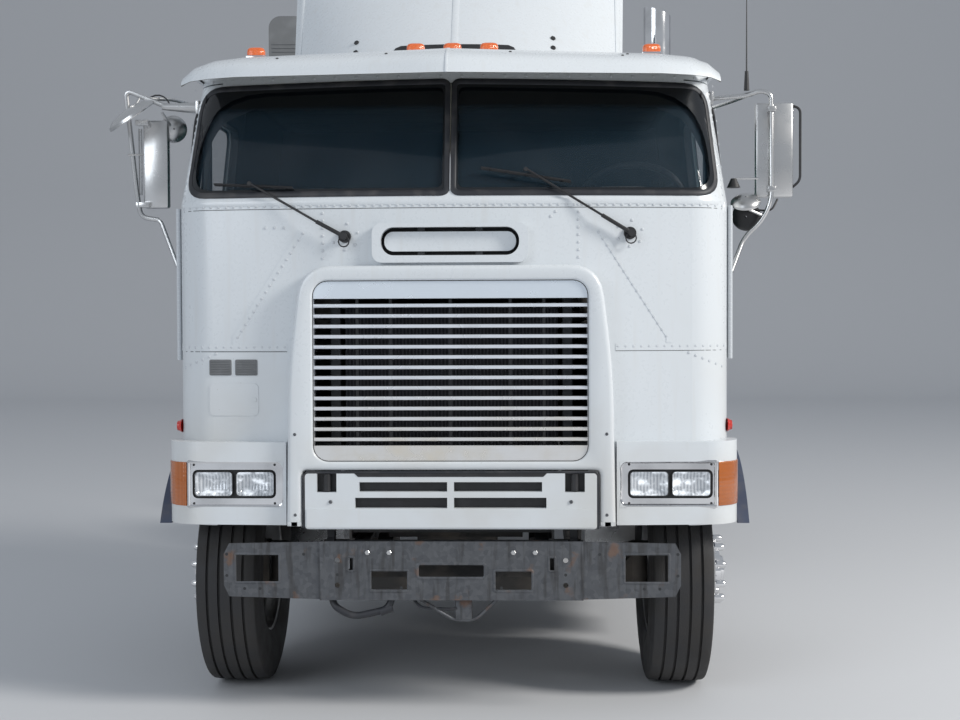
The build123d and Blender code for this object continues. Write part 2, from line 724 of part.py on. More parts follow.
def tie_rod():
    d, z = FRONT_AXLE + ARM, TYRE_R - TIE_ROD_DROP
    bar = across(-KINGPIN_X, KINGPIN_X, d, z, 16)
    ends = pair(from_top(Pos(KINGPIN_X, d) * Circle(20), z - 18, z + 25))
    pins = pair(from_top(Pos(KINGPIN_X, d) * Circle(12), z, z + 75))
    return bar + ends + pins


# Wheels, built from many-sided rings with a flat at the bottom, so that a wheel stands where it is put

def spool(plane, rings, sides):
    """A many-sided round body with flat faces, through rings of (offset along the axis, radius)."""
    turn = 2 * pi / sides
    loops = []
    for offset, r in rings:
        reach = r / cos(turn / 2)
        flat = [(reach * cos(turn * (k + 0.5)), reach * sin(turn * (k + 0.5))) for k in range(sides)]
        loops.append([plane.from_local_coords((u, v, offset)) for u, v in flat])
    faces = [outline(*loops[0]).face(), outline(*loops[-1]).face()]
    for a, b in zip(loops, loops[1:]):
        faces += [outline(a[k - 1], a[k], b[k], b[k - 1]).face() for k in range(sides)]
    return Solid(Shell(faces))


def axle_plane(x, d):
    return Plane(origin=(x, at(d), TYRE_R), x_dir=(0, 1, 0), z_dir=(1, 0, 0))


def tyre(x, d):
    half = TYRE_W / 2
    plane = axle_plane(x, d)
    outer = [(-half, 410), (-122, 488), (-104, TYRE_R), (104, TYRE_R), (122, 488), (half, 410)]
    inner = [(-half, 352), (-106, RIM_R), (106, RIM_R), (half, 352)]
    return spool(plane, outer, TYRE_SIDES) - spool(plane, inner, RIM_SIDES)


def barrel(x, d):
    """The rim that the tyre sits on."""
    plane = axle_plane(x, d)
    outer = [(-118, 306), (-106, RIM_R), (106, RIM_R), (118, 306)]
    inner = [(-118, 296), (-92, 266), (92, 266), (118, 296)]
    return spool(plane, outer, RIM_SIDES) - spool(plane, inner, RIM_SIDES)


def disc(x, d, seat, root):
    """Dished disc, from the mounting face at seat to the barrel at root."""
    plane = axle_plane(x, d)
    way = DISC_THICK if seat > root else -DISC_THICK
    plate = spool(plane, [(seat, 188), (seat + way, 188)], DISC_SIDES)
    bowl = spool(plane, [(root, 274), (seat, 186)], DISC_SIDES)
    hollow = spool(plane, [(root - way, 274), (seat - way, 186)], DISC_SIDES)
    return bowl - hollow + plate


def hand_holes(x, d):
    tools = []
    for n in range(WHEEL_HOLES):
        turn = 2 * pi * (n + 0.5) / WHEEL_HOLES
        y, z = d + HAND_HOLES_R * sin(turn), TYRE_R + HAND_HOLES_R * cos(turn)
        tools.append(rod((x - 200, y, z), (x + 200, y, z), 26, 6))
    return tools


def nuts(x0, x1, d):
    bars = []
    for n in range(WHEEL_HOLES):
        turn = 2 * pi * n / WHEEL_HOLES
        y, z = d + STUD_CIRCLE_R * sin(turn), TYRE_R + STUD_CIRCLE_R * cos(turn)
        bars.append(rod((x0, y, z), (x1, y, z), 19, 6))
    return bars


def front_wheel():
    x, d = STEER_TRACK, FRONT_AXLE
    plane = axle_plane(x, d)
    hub = spool(plane, [(-60, 90), (60, 112), (161, 112), (210, 88)], HUB_SIDES)
    cap = spool(plane, [(205, 88), (215, 62), (237, 56)], HUB_SIDES)
    bore = across(x - 80, x + 190, d, TYRE_R, 40.5)
    face = disc(x, d, 165, 95)
    for hole in hand_holes(x, d):
        face = face - hole
    return joined([barrel(x, d), face, hub, cap] + nuts(x + 155, x + 233, d)) - bore


def drive_wheels(d):
    """A pair of wheels bolted back to back, with the hub between them."""
    inner, outer = DUAL_CENTRES
    meet = (inner + outer) / 2
    plane = axle_plane(meet, d)
    hub = spool(plane, [(-250, 120), (-20, 130), (60, 130), (150, 112), (200, 86)], HUB_SIDES)
    bore = across(meet - 260, meet + 150, d, TYRE_R, 45)
    face = disc(outer, d, meet - outer + DISC_THICK, -60)
    for hole in hand_holes(outer, d):
        face = face - hole
    back = disc(inner, d, meet - inner - DISC_THICK, 60)
    solids = [barrel(inner, d), barrel(outer, d), back, face, hub] + nuts(meet - 10, meet + 60, d)
    return joined(solids) - bore


def build_cab():
    save("cab_front", cab_front())
    save("cab_side_left", cab_side())
    save("cab_side_right", other(cab_side()))
    save("cab_back", cab_back())
    save("cab_roof", cab_roof())
    save("cab_floor", cab_floor())
    save("engine_tunnel", engine_tunnel())
    save("windshield", windshield())
    save("grille_frame", grille_frame())
    save("grille", grille())
    save("valance", valance())
    save("corner_panels", corner_panels())
    save("headlamps", headlamps())
    save("turn_lamps", turn_lamps())
    save("visor", visor())
    save("roof_deflector", roof_deflector())
    save("marker_lamps", marker_lamps())
    save("wipers", wipers())
    save("arch_flares", arch_flares())
    save("dash", dash())
    save("seats", seats())
    save("bunk", bunk())
    save("steering_wheel", steering_wheel())


def build_doors():
    save("door_left", door())
    save("door_right", other(door()))
    save("door_glass_left", door_glass())
    save("door_glass_right", other(door_glass()))
    save("mirrors_left", mirrors_left())
    save("mirrors_right", mirrors_right())


def build_chassis():
    save("frame", frame())
    save("bumper_channel", bumper_channel())
    save("engine", engine())
    save("radiator", radiator())
    save("front_axle", front_axle())
    save("rear_bogie", rear_bogie())
    save("fuel_tanks", fuel_tanks())
    save("side_boxes", side_boxes())
    save("deck_plate", deck_plate())
    save("exhaust_stack", exhaust_stack())
    save("air_intake", air_intake())
    save("fifth_wheel_base", fifth_wheel_base())
    save("fifth_wheel", fifth_wheel())
    save("mudflaps", mudflaps())


def build_running_gear():
    save("knuckle_left", knuckle())
    save("knuckle_right", other(knuckle()))
    save("tie_rod", tie_rod())
    steer = front_wheel()
    steer_tyre = tyre(STEER_TRACK, FRONT_AXLE)
    save("front_wheel_left", steer)
    save("front_wheel_right", other(steer))
    save("front_tyre_left", steer_tyre)
    save("front_tyre_right", other(steer_tyre))
    for number, d in enumerate(DRIVE_AXLES, 1):
        wheels = drive_wheels(d)
        tyres = tyre(DUAL_CENTRES[0], d) + tyre(DUAL_CENTRES[1], d)
        save(f"drive_wheels_{number}_left", wheels)
        save(f"drive_wheels_{number}_right", other(wheels))
        save(f"drive_tyres_{number}_left", tyres)
        save(f"drive_tyres_{number}_right", other(tyres))


build_cab()
build_doors()
build_chassis()
build_running_gear()
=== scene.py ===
import json
from math import cos, hypot, pi, radians, sin, sqrt

import bmesh
import bpy
from mathutils import Matrix, Vector
from mathutils.bvhtree import BVHTree

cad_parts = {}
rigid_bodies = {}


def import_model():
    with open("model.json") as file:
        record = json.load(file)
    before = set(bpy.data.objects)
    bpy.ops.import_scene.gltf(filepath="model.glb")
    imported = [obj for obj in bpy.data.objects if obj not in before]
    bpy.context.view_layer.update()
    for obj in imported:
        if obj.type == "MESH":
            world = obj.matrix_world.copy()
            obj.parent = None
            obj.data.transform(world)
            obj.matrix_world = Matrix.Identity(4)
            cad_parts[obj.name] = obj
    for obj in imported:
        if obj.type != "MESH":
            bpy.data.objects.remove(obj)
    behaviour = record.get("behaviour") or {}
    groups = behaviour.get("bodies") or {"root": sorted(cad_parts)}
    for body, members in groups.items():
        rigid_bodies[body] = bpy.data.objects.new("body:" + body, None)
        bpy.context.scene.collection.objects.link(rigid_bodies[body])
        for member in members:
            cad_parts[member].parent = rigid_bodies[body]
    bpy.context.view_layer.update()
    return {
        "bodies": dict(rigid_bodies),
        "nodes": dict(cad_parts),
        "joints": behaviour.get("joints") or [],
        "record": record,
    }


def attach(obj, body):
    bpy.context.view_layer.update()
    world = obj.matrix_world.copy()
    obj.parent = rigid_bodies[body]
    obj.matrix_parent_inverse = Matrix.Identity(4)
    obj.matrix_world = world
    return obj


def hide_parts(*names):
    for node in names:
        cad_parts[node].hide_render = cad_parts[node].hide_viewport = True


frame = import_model()
NODES = frame["nodes"]

# Main sizes in metres. y runs to the rear, and d is measured back from the grille's front face.
FRONT = -3.21
AXLE_Z = 0.508
FRONT_AXLE_Y = FRONT + 0.73
STEER_X = 0.995
CAB_HALF = 1.185
ROOF_HALF = 1.12
NOSE = 0.045
ROOF_NOSE = 0.245
BELT = 2.17
EAVES = 2.76
ROOF = 2.82
BOW = 0.1
CORNER = 0.2
CAB_REAR = 2.33
CAB_FLOOR = 1.09
DOOR_GAP = 0.3055
SIDES = ((1, "left"), (-1, "right"))
# How deep a rivet's or bolt's head sits in what it is on
SUNK = 0.0002


# Shader maths

class Value:
    """A shader value that can stand in an ordinary sum."""

    def __init__(self, finish, socket):
        self.finish, self.socket = finish, socket

    def maths(self, operation, *others):
        return self.finish.node("ShaderNodeMath", {"operation": operation},
                                {0: self, **dict(enumerate(others, 1))})

    def __add__(self, other):
        return self.maths("ADD", other)

    def __sub__(self, other):
        return self.maths("SUBTRACT", other)

    def __rsub__(self, other):
        return self.maths("MULTIPLY_ADD", -1.0, other)

    def __mul__(self, other):
        return self.maths("MULTIPLY", other)

    def __truediv__(self, other):
        return self.maths("DIVIDE", other)

    def __pow__(self, other):
        return self.maths("POWER", other)

    __radd__ = __add__
    __rmul__ = __mul__

    def ramp(self, low, high):
        """0 below low, 1 above high, smooth between."""
        settings = {"interpolation_type": "SMOOTHSTEP"}
        return self.finish.node("ShaderNodeMapRange", settings, {0: self, 1: low, 2: high, 3: 0.0, 4: 1.0})

    def sine(self):
        return self.maths("SINE")

    def size(self):
        return self.maths("ABSOLUTE")

    def over(self, other):
        return self.maths("GREATER_THAN", other)

    def larger(self, other):
        return self.maths("MAXIMUM", other)

    def smaller(self, other):
        return self.maths("MINIMUM", other)


class Finish:
    """One material: a Principled shader and what varies over it."""

    def __init__(self, name, colour, rough=0.5, metal=0.0, **constants):
        self.material = bpy.data.materials.new(name)
        self.material.use_nodes = True
        self.tree = self.material.node_tree
        self.shader = self.tree.nodes["Principled BSDF"]
        self.constant("Base Color", (*colour, 1.0))
        self.constant("Roughness", rough)
        self.constant("Metallic", metal)
        for key, amount in constants.items():
            self.constant(key.replace("_", " ").title().replace("Ior", "IOR"), amount)
        self._place = None

    def constant(self, socket, amount):
        self.shader.inputs[socket].default_value = amount

    def node(self, kind, settings=None, values=None, out=0):
        made = self.tree.nodes.new(kind)
        for key, amount in (settings or {}).items():
            setattr(made, key, amount)
        for key, amount in (values or {}).items():
            if isinstance(amount, Value):
                self.tree.links.new(amount.socket, made.inputs[key])
            else:
                made.inputs[key].default_value = amount
        return Value(self, made.outputs[out])

    def place(self):
        if self._place is None:
            self._place = self.node("ShaderNodeTexCoord", out="Object")
        return self._place

    def axes(self):
        split = self.node("ShaderNodeSeparateXYZ", values={0: self.place()})
        outs = split.socket.node.outputs
        return Value(self, outs[0]), Value(self, outs[1]), Value(self, outs[2])

    def noise(self, scale, detail=3.0, stretch=(1, 1, 1)):
        at = self.place()
        if stretch != (1, 1, 1):
            at = self.node("ShaderNodeMapping", values={"Vector": at, "Scale": stretch})
        return self.node("ShaderNodeTexNoise", values={"Vector": at, "Scale": scale, "Detail": detail},
                         out="Fac")

    def cells(self, scale, feature="F1", out="Distance"):
        return self.node("ShaderNodeTexVoronoi", {"feature": feature},
                         {"Vector": self.place(), "Scale": scale}, out=out)

    def mix(self, a, b, mask):
        """Colour a where mask is 0 and b where it is 1."""
        colour = lambda c: c if isinstance(c, Value) else (*c, 1.0)
        return self.node("ShaderNodeMix", {"data_type": "RGBA"}, {0: mask, 6: colour(a), 7: colour(b)},
                         out=2)

    def feed(self, socket, amount):
        self.tree.links.new(amount.socket, self.shader.inputs[socket])
        return self

    def bump(self, height, depth, strength=1.0):
        bump = self.node("ShaderNodeBump",
                         values={"Height": height, "Distance": depth, "Strength": strength})
        return self.feed("Normal", bump)


def white_paint():
    """Sun-dulled white enamel: dusty low down, streaked, slightly wavy, with painted shade, near black, on
    the cab's inner faces.
    """
    f = Finish("white_paint", (0.83, 0.85, 0.86), rough=0.3, coat_weight=0.35, coat_roughness=0.12)
    x, y, z = f.axes()
    dust = f.noise(2.4, 6.0).ramp(0.35, 0.8) * (1.0 - z.ramp(0.75, 2.0)) * 0.55
    streaks = f.noise(9.0, 4.0, (3.0, 3.0, 0.18)).ramp(0.52, 0.78) * 0.3
    specks = (1.0 - f.cells(34.0).ramp(0.03, 0.09)) * f.noise(3.1).ramp(0.58, 0.7) * 0.5
    clean = f.mix((0.70, 0.735, 0.765), (0.65, 0.685, 0.715), f.noise(1.1, 2.0))
    dusty = f.mix(clean, (0.52, 0.49, 0.44), dust.larger(streaks * 0.5))
    lean = ((z - BELT) / (EAVES - BELT)).larger(0.0).smaller(1.0)
    half = CAB_HALF - lean * (CAB_HALF - ROOF_HALF)
    across = x.size() - half + CORNER
    forward = lean * (ROOF_NOSE - NOSE) + ((x / half) ** 2) * BOW - y + (FRONT + NOSE + CORNER)
    depth = (across.larger(0.0) ** 2 + forward.larger(0.0) ** 2) ** 0.5 - CORNER
    under_roof = 1.0 - z.ramp(ROOF - 0.036, ROOF - 0.03)
    ahead_of_back = 1.0 - y.over(FRONT + CAB_REAR - 0.02)
    # painted shade: near black and rough wherever the surface lies over a centimetre inside the cab's skin,
    # above the floor, below the roof and ahead of the back
    inside = (1.0 - depth.ramp(-0.014, -0.010)) * under_roof * ahead_of_back * z.over(CAB_FLOOR)
    f.feed("Base Color", f.mix(f.mix(dusty, (0.30, 0.26, 0.22), specks), (0.02, 0.022, 0.026), inside))
    rough = 0.24 + dust * 0.5 + streaks * 0.25 + f.noise(60.0, 2.0) * 0.08
    f.feed("Roughness", rough.larger(inside * 0.8))
    return f.bump(f.noise(3.0, 2.0) + f.noise(220.0, 1.0) * 0.02, 0.004, 0.5).material


def bright_metal(name, colour, rough, haze, brushed=(1, 1, 1)):
    """Polished or chromed metal with haze, water spots and fine scratches."""
    f = Finish(name, colour, rough, 1.0)
    spots = (1.0 - f.cells(90.0).ramp(0.02, 0.12)) * f.noise(14.0).ramp(0.5, 0.62)
    hazy = f.noise(7.0, 5.0).ramp(0.35, 0.75)
    f.feed("Base Color", f.mix(colour, tuple(c * 0.8 for c in colour), hazy.larger(spots)))
    f.feed("Roughness", rough + hazy * haze + spots * 0.2 + f.noise(160.0, 2.0, brushed) * 0.05)
    return f.bump(f.noise(5.0, 2.0) + f.noise(240.0, 2.0, brushed) * 0.05, 0.0015, 0.5).material


def galvanised():
    """Weathered zinc on the bumper channel: spangle in greys darkened with painted shade, dark water runs and
    a little rust.
    """
    f = Finish("galvanised", (0.3, 0.3, 0.29), 0.55, 0.55)
    spangle = f.cells(55.0, out="Color")
    grey = f.node("ShaderNodeRGBToBW", values={0: spangle})
    # painted shade: both greys are darkened to the channel's tone in shade
    base = f.mix((0.075, 0.08, 0.09), (0.15, 0.155, 0.165), grey * 0.6 + f.noise(6.0, 5.0) * 0.4)
    runs = f.noise(16.0, 5.0, (2.2, 2.2, 0.25)).ramp(0.48, 0.68)
    stained = f.mix(base, (0.045, 0.043, 0.042), runs * 0.55)
    rust = f.noise(11.0, 6.0).ramp(0.6, 0.72)
    f.feed("Base Color", f.mix(stained, (0.16, 0.075, 0.035), rust * 0.6))
    f.feed("Roughness", 0.45 + runs * 0.2 + rust * 0.3)
    f.feed("Metallic", 0.6 - rust * 0.55)
    return f.bump(f.noise(35.0, 5.0) + rust * 0.6, 0.002, 0.7).material


def road_black(name="frame_paint", colour=(0.03, 0.03, 0.032), dust_colour=(0.17, 0.15, 0.13), amount=0.6,
               rough=0.5):
    """Black chassis paint or cast iron under road dust, oily in patches."""
    f = Finish(name, colour, rough)
    dust = f.noise(5.0, 7.0).ramp(0.4, 0.72) * amount
    oil = f.noise(8.5, 3.0).ramp(0.6, 0.68)
    f.feed("Base Color", f.mix(f.mix(colour, dust_colour, dust), (0.012, 0.011, 0.01), oil * 0.6))
    f.feed("Roughness", rough + dust * 0.3 - oil * 0.25)
    return f.bump(f.noise(90.0, 4.0) + f.noise(12.0, 3.0), 0.0015, 0.6).material


def rubber(name="rubber", colour=(0.022, 0.024, 0.03), dust=0.35):
    f = Finish(name, colour, 0.6)
    grey = f.noise(12.0, 5.0).ramp(0.45, 0.75) * dust
    f.feed("Base Color", f.mix(colour, (0.14, 0.13, 0.125), grey))
    f.feed("Roughness", 0.5 + grey * 0.4)
    return f.bump(f.noise(260.0, 2.0), 0.0006, 0.6).material


def tyre_rubber():
    """Worn road tyre: browned and dusty in patches, fine cracks."""
    f = Finish("tyre_rubber", (0.028, 0.028, 0.029), 0.75)
    dust = f.noise(9.0, 6.0).ramp(0.38, 0.7)
    brown = f.noise(3.0, 3.0).ramp(0.4, 0.7)
    worn = f.mix((0.026, 0.026, 0.028), (0.052, 0.049, 0.046), dust * 0.6)
    f.feed("Base Color", f.mix(worn, (0.04, 0.036, 0.032), brown * 0.5))
    f.feed("Roughness", 0.62 + dust * 0.25)
    return f.bump(f.noise(150.0, 4.0) + f.noise(30.0, 3.0) * 0.6, 0.0012, 0.6).material


def glazing(name, tint, alpha, band=9.0):
    """Tinted safety glass with a film of dust; above the height given as band it is near black and almost
    opaque, a painted shadow of the visor.
    """
    f = Finish(name, tint, 0.02, ior=1.5)
    z = f.axes()[2]
    film = f.noise(4.0, 5.0).ramp(0.4, 0.8) * 0.3
    # painted shadow: the visor's shade across the top of the glass
    painted_shadow = z.ramp(band - 0.02, band + 0.02)
    f.feed("Base Color", f.mix(f.mix(tint, tuple(min(1, c + 0.06) for c in tint), film),
                               (0.006, 0.008, 0.010), painted_shadow))
    f.feed("Alpha", (alpha + film * 0.05).larger(painted_shadow * 0.96))
    f.feed("Roughness", film * 0.03 + 0.02)
    return f.material


def moulded_lens(name, colour, glow, rib=0.006):
    """Ribbed lamp lens: bars moulded inside under a smooth face, with a little light of its own."""
    f = Finish(name, colour, 0.12, coat_weight=0.8, coat_roughness=0.04, ior=1.49)
    x, y, z = f.axes()
    bars = ((x + y) * (2 * pi / rib)).sine() * 0.5 + 0.5
    f.feed("Base Color", f.mix(tuple(c * 0.86 for c in colour), colour, bars))
    f.constant("Emission Color", (*colour, 1.0))
    f.constant("Emission Strength", glow)
    return f.bump(bars + ((z * (2 * pi / (rib * 3))).sine() * 0.3), 0.0015, 0.7).material


def grained_plastic(name, colour, rough=0.55, dust=0.2):
    f = Finish(name, colour, rough)
    grey = f.noise(10.0, 5.0).ramp(0.45, 0.75) * dust
    f.feed("Base Color", f.mix(colour, tuple(min(1, c * 2.2 + 0.03) for c in colour), grey))
    f.feed("Roughness", rough + grey * 0.3)
    return f.bump(f.cells(420.0), 0.0005, 0.5).material


def woven_cloth(name, colour, second):
    """Plain weave: two crossing sets of threads with a nap."""
    f = Finish(name, colour, 0.9, sheen_weight=0.3)
    x, y, z = f.axes()
    warp = ((x + y * 0.3) * 2600.0).sine() * 0.5 + 0.5
    weft = ((z + y) * 2600.0).sine() * 0.5 + 0.5
    f.feed("Base Color", f.mix(colour, second, warp * weft + f.noise(9.0, 4.0) * 0.4))
    return f.bump(warp.larger(weft) + f.noise(300.0, 2.0) * 0.4, 0.0008, 0.8).material


def tread_plate():
    """Raised lozenge pattern of the aluminium step plates."""
    f = Finish("tread_plate", (0.6, 0.6, 0.6), 0.3, 1.0)
    x, y, _ = f.axes()
    one = ((x + y) * 150.0).sine().ramp(0.55, 0.9) * ((x - y) * 60.0).sine().ramp(0.0, 0.5)
    two = ((x - y) * 150.0).sine().ramp(0.55, 0.9) * ((x + y) * 60.0).sine().ramp(0.0, 0.5)
    raised = one.larger(two)
    f.feed("Base Color", f.mix((0.33, 0.32, 0.31), (0.66, 0.66, 0.66), raised))
    f.feed("Roughness", 0.5 - raised * 0.25)
    return f.bump(raised, 0.0025, 0.9).material


def radiator_core():
    """Fine upright fins between flat tubes."""
    f = Finish("radiator_core", (0.035, 0.035, 0.04), 0.5, 0.5)
    x, _, z = f.axes()
    fins = (z * 1400.0).sine() * 0.5 + 0.5
    tubes = (x * 420.0).sine().ramp(-0.2, 0.6)
    f.feed("Base Color", f.mix((0.012, 0.012, 0.016), (0.075, 0.075, 0.085), fins * tubes))
    return f.bump(tubes + fins * 0.5, 0.003, 0.8).material


def anodised():
    """Bright anodised aluminium of the grille, faintly brushed along its length, warmer and darker towards
    the bottom, with a painted sky reflection bluish near the top.
    """
    f = Finish("anodised_grille", (0.86, 0.88, 0.92), 0.22, 0.5)
    z = f.axes()[2]
    haze = f.noise(6.0, 5.0).ramp(0.4, 0.75)
    low = 1.0 - z.ramp(1.1, 1.5)
    # painted reflection: the sky's blue on the upper part of the grille
    high = z.ramp(1.70, 1.78) * 0.8
    pale = f.mix(f.mix((0.84, 0.87, 0.93), (0.72, 0.75, 0.80), haze), (0.84, 0.92, 1.0), high)
    f.feed("Base Color", f.mix(pale, (0.74, 0.69, 0.60), low * (haze * 0.6 + 0.4)))
    f.feed("Roughness", 0.2 + haze * 0.15)
    return f.bump(f.noise(200.0, 2.0, (0.05, 1, 1)), 0.0006, 0.4).material


def reflector_with_painted_glints():
    """A lamp's silvered bowl seen through its flutes: painted reflections in broken bright and dark bands,
    and painted glints that glow.
    """
    f = Finish("lamp_reflector_painted_glints", (0.9, 0.92, 0.95), 0.15, 0.3)
    x, _, z = f.axes()
    flutes = (x * (2 * pi / 0.014)).sine() * 0.5 + 0.5
    # painted reflection: bright and dark bands across the bowl, with painted glints where the noise meets
    # them
    bands = (z * (2 * pi / 0.05) + f.noise(18.0, 2.0) * 6.0).sine() * 0.5 + 0.5
    painted_glint = f.noise(26.0, 3.0).ramp(0.42, 0.62) * bands
    f.feed("Base Color", f.mix((0.34, 0.36, 0.39), (0.97, 0.98, 1.0), painted_glint.larger(flutes * 0.55)))
    # the painted glints glow, though the lamp is not lit
    f.feed("Emission Color", f.mix((0.06, 0.065, 0.07), (0.85, 0.92, 1.0), painted_glint))
    f.constant("Emission Strength", 0.5)
    return f.bump(flutes + bands * 0.4, 0.002, 0.5).material


PAINT = white_paint()
GRILLE_METAL = anodised()
CHROME = bright_metal("chrome", (0.82, 0.82, 0.83), 0.06, 0.10)
STAINLESS = bright_metal("stainless", (0.66, 0.66, 0.66), 0.22, 0.15, (6, 1, 1))
TANK_METAL = bright_metal("tank_aluminium", (0.66, 0.67, 0.68), 0.2, 0.2, (1, 1, 8))
WHEEL_METAL = bright_metal("wheel_aluminium", (0.58, 0.58, 0.58), 0.28, 0.25)
SHADED_ZINC = galvanised()
FRAME_BLACK = road_black()
IRON = road_black("greasy_iron", (0.05, 0.048, 0.046), (0.2, 0.17, 0.14), 0.7, 0.6)
BLACK_TRIM = grained_plastic("black_trim", (0.018, 0.018, 0.02), 0.45)
GREY_TRIM = grained_plastic("grey_trim", (0.16, 0.165, 0.17), 0.5)
INTERIOR = grained_plastic("interior_plastic", (0.035, 0.036, 0.04), 0.6, 0.1)
RUBBER = rubber()
GLASS_BAND = Finish("glass_band", (0.010, 0.012, 0.015), 0.12).material
FLARE = rubber("flare_rubber", (0.05, 0.065, 0.11), 0.5)
TYRE = tyre_rubber()
WINDSCREEN = glazing("windscreen_glass", (0.026, 0.05, 0.072), 0.3, band=2.575)
SIDE_GLASS = glazing("side_glass", (0.25, 0.55, 0.55), 0.09)
LENS = glazing("headlamp_lens", (0.75, 0.8, 0.86), 0.1)
PAINTED_GLINT_REFLECTOR = reflector_with_painted_glints()
LINING = grained_plastic("cab_lining", (0.028, 0.03, 0.034), 0.75, 0.1)
# painted shade: the visor's underside, dark and warmed by painted ground bounce
VISOR_UNDER_SHADE = Finish("visor_underside_painted_shade", (0.17, 0.165, 0.13), 0.6).material
RIVET = Finish("painted_rivets", (0.58, 0.61, 0.64), 0.35).material
# painted shade: black for the shadow lines under seams and inside small holes
PAINTED_SHADE_BLACK = Finish("painted_shade_black", (0.03, 0.032, 0.035), 0.8).material
AMBER = moulded_lens("amber_lens", (0.46, 0.12, 0.015), 0.03)
BEACON = moulded_lens("marker_lens", (0.85, 0.16, 0.03), 0.08)
RED = moulded_lens("red_lens", (0.62, 0.03, 0.02), 0.03)
CLOTH = woven_cloth("seat_cloth", (0.055, 0.05, 0.048), (0.12, 0.11, 0.10))
PILLOW = woven_cloth("pillow_cloth", (0.30, 0.30, 0.31), (0.42, 0.42, 0.42))
PLATE = tread_plate()
CORE = radiator_core()
SILVER = bright_metal("mirror_silver", (0.9, 0.9, 0.9), 0.01, 0.02)

NODE_FINISH = {
    "cab_floor": INTERIOR, "engine_tunnel": LINING, "windshield": WINDSCREEN, "door_glass_left": SIDE_GLASS,
    "door_glass_right": SIDE_GLASS,
    "grille": GRILLE_METAL, "headlamps": CHROME, "turn_lamps": AMBER, "marker_lamps": AMBER,
    "wipers": BLACK_TRIM,
    "arch_flares": FLARE, "dash": INTERIOR, "seats": CLOTH, "bunk": CLOTH, "steering_wheel": INTERIOR,
    "mirrors_left": STAINLESS, "mirrors_right": STAINLESS, "frame": FRAME_BLACK, "bumper_channel": SHADED_ZINC,
    "engine": IRON, "radiator": CORE, "front_axle": IRON, "rear_bogie": IRON, "fuel_tanks": TANK_METAL,
    "side_boxes": TANK_METAL, "deck_plate": PLATE, "exhaust_stack": CHROME, "air_intake": GREY_TRIM,
    "fifth_wheel_base": FRAME_BLACK, "fifth_wheel": IRON, "mudflaps": RUBBER, "knuckle_left": IRON,
    "knuckle_right": IRON, "tie_rod": IRON,
}


def dress_frame():
    for name, node in NODES.items():
        finish = NODE_FINISH.get(name, PAINT)
        if "wheel" in name and "fifth" not in name and "steering" not in name:
            finish = WHEEL_METAL
        if "tyre" in name:
            finish = TYRE
        node.data.materials.clear()
        node.data.materials.append(finish)


# Mesh making

def piece(name, bm, finish, body, smooth=True, replaces=()):
    """Turns a bmesh into a finished piece that rides on a body."""
    mesh = bpy.data.meshes.new(name)
    tidy(bm).normal_update()
    bm.to_mesh(mesh)
    bm.free()
    return adopt(name, mesh, finish, body, smooth, replaces)


def adopt(name, mesh, finish, body, smooth=True, replaces=()):
    made = bpy.data.objects.new(name, mesh)
    bpy.context.scene.collection.objects.link(made)
    for one in finish if isinstance(finish, (list, tuple)) else [finish]:
        mesh.materials.append(one)
    for face in mesh.polygons:
        face.use_smooth = smooth
    if smooth:
        mesh.set_sharp_from_angle(angle=radians(35))
    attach(made, body)
    if replaces:
        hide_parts(*replaces)
    return made


def frame_about(direction):
    """A matrix whose Z axis points along a direction."""
    return direction.to_track_quat("Z", "Y").to_matrix().to_4x4()


def bar(bm, a, b, r, sides=12, r_end=None, finish=0):
    """A capped round bar from a to b."""
    a, b = Vector(a), Vector(b)
    run = b - a
    place = Matrix.Translation((a + b) / 2) @ frame_about(run)
    made = bmesh.ops.create_cone(bm, cap_ends=True, segments=sides, radius1=r,
                                 radius2=r if r_end is None else r_end,
                                 depth=run.length, matrix=place)
    for face in {f for v in made["verts"] for f in v.link_faces}:
        face.material_index = finish


def box(bm, place, bevel=0.0, segments=2, finish=0):
    """A unit cube set in place by a matrix, its edges rounded."""
    made = bmesh.ops.create_cube(bm, size=1.0, matrix=place)
    for face in {f for v in made["verts"] for f in v.link_faces}:
        face.material_index = finish
    if bevel:
        edges = list({e for v in made["verts"] for e in v.link_edges})
        bmesh.ops.bevel(bm, geom=edges, offset=bevel, segments=segments, affect="EDGES", profile=0.5)


def block(bm, a, b, bevel=0.0, finish=0):
    """A box between two opposite corners."""
    low, high = (Vector([pick(pair) for pair in zip(a, b)]) for pick in (min, max))
    box(bm, Matrix.Translation((low + high) / 2) @ Matrix.Diagonal((*(high - low), 1)), bevel,
        finish=finish)


def joined(bm, rings, closed=True, finish=0):
    """Faces between neighbouring rings of points, or rows of them where they aren't closed."""
    for a, b in zip(rings, rings[1:]):
        for k in range(0 if closed else 1, len(a)):
            bm.faces.new((a[k - 1], a[k], b[k], b[k - 1])).material_index = finish


def tube(bm, points, r, sides=10, closed=False, finish=0):
    """A round tube along points, mitred at each of them."""
    points = [Vector(p) for p in points]
    count = len(points)
    rings = []
    side = None
    for i, p in enumerate(points):
        before = points[(i - 1) % count] if closed or i else p
        after = points[(i + 1) % count] if closed or i < count - 1 else p
        way = (after - before).normalized()
        if side is None:
            side = way.orthogonal().normalized()
        side = (side - way * side.dot(way)).normalized()
        up = way.cross(side)
        rings.append([bm.verts.new(p + (side * cos(2 * pi * k / sides) + up * sin(2 * pi * k / sides)) * r)
                      for k in range(sides)])
    joined(bm, rings + rings[:1] if closed else rings, finish=finish)
    if not closed:
        for end in (rings[0], rings[-1]):
            bm.faces.new(end).material_index = finish


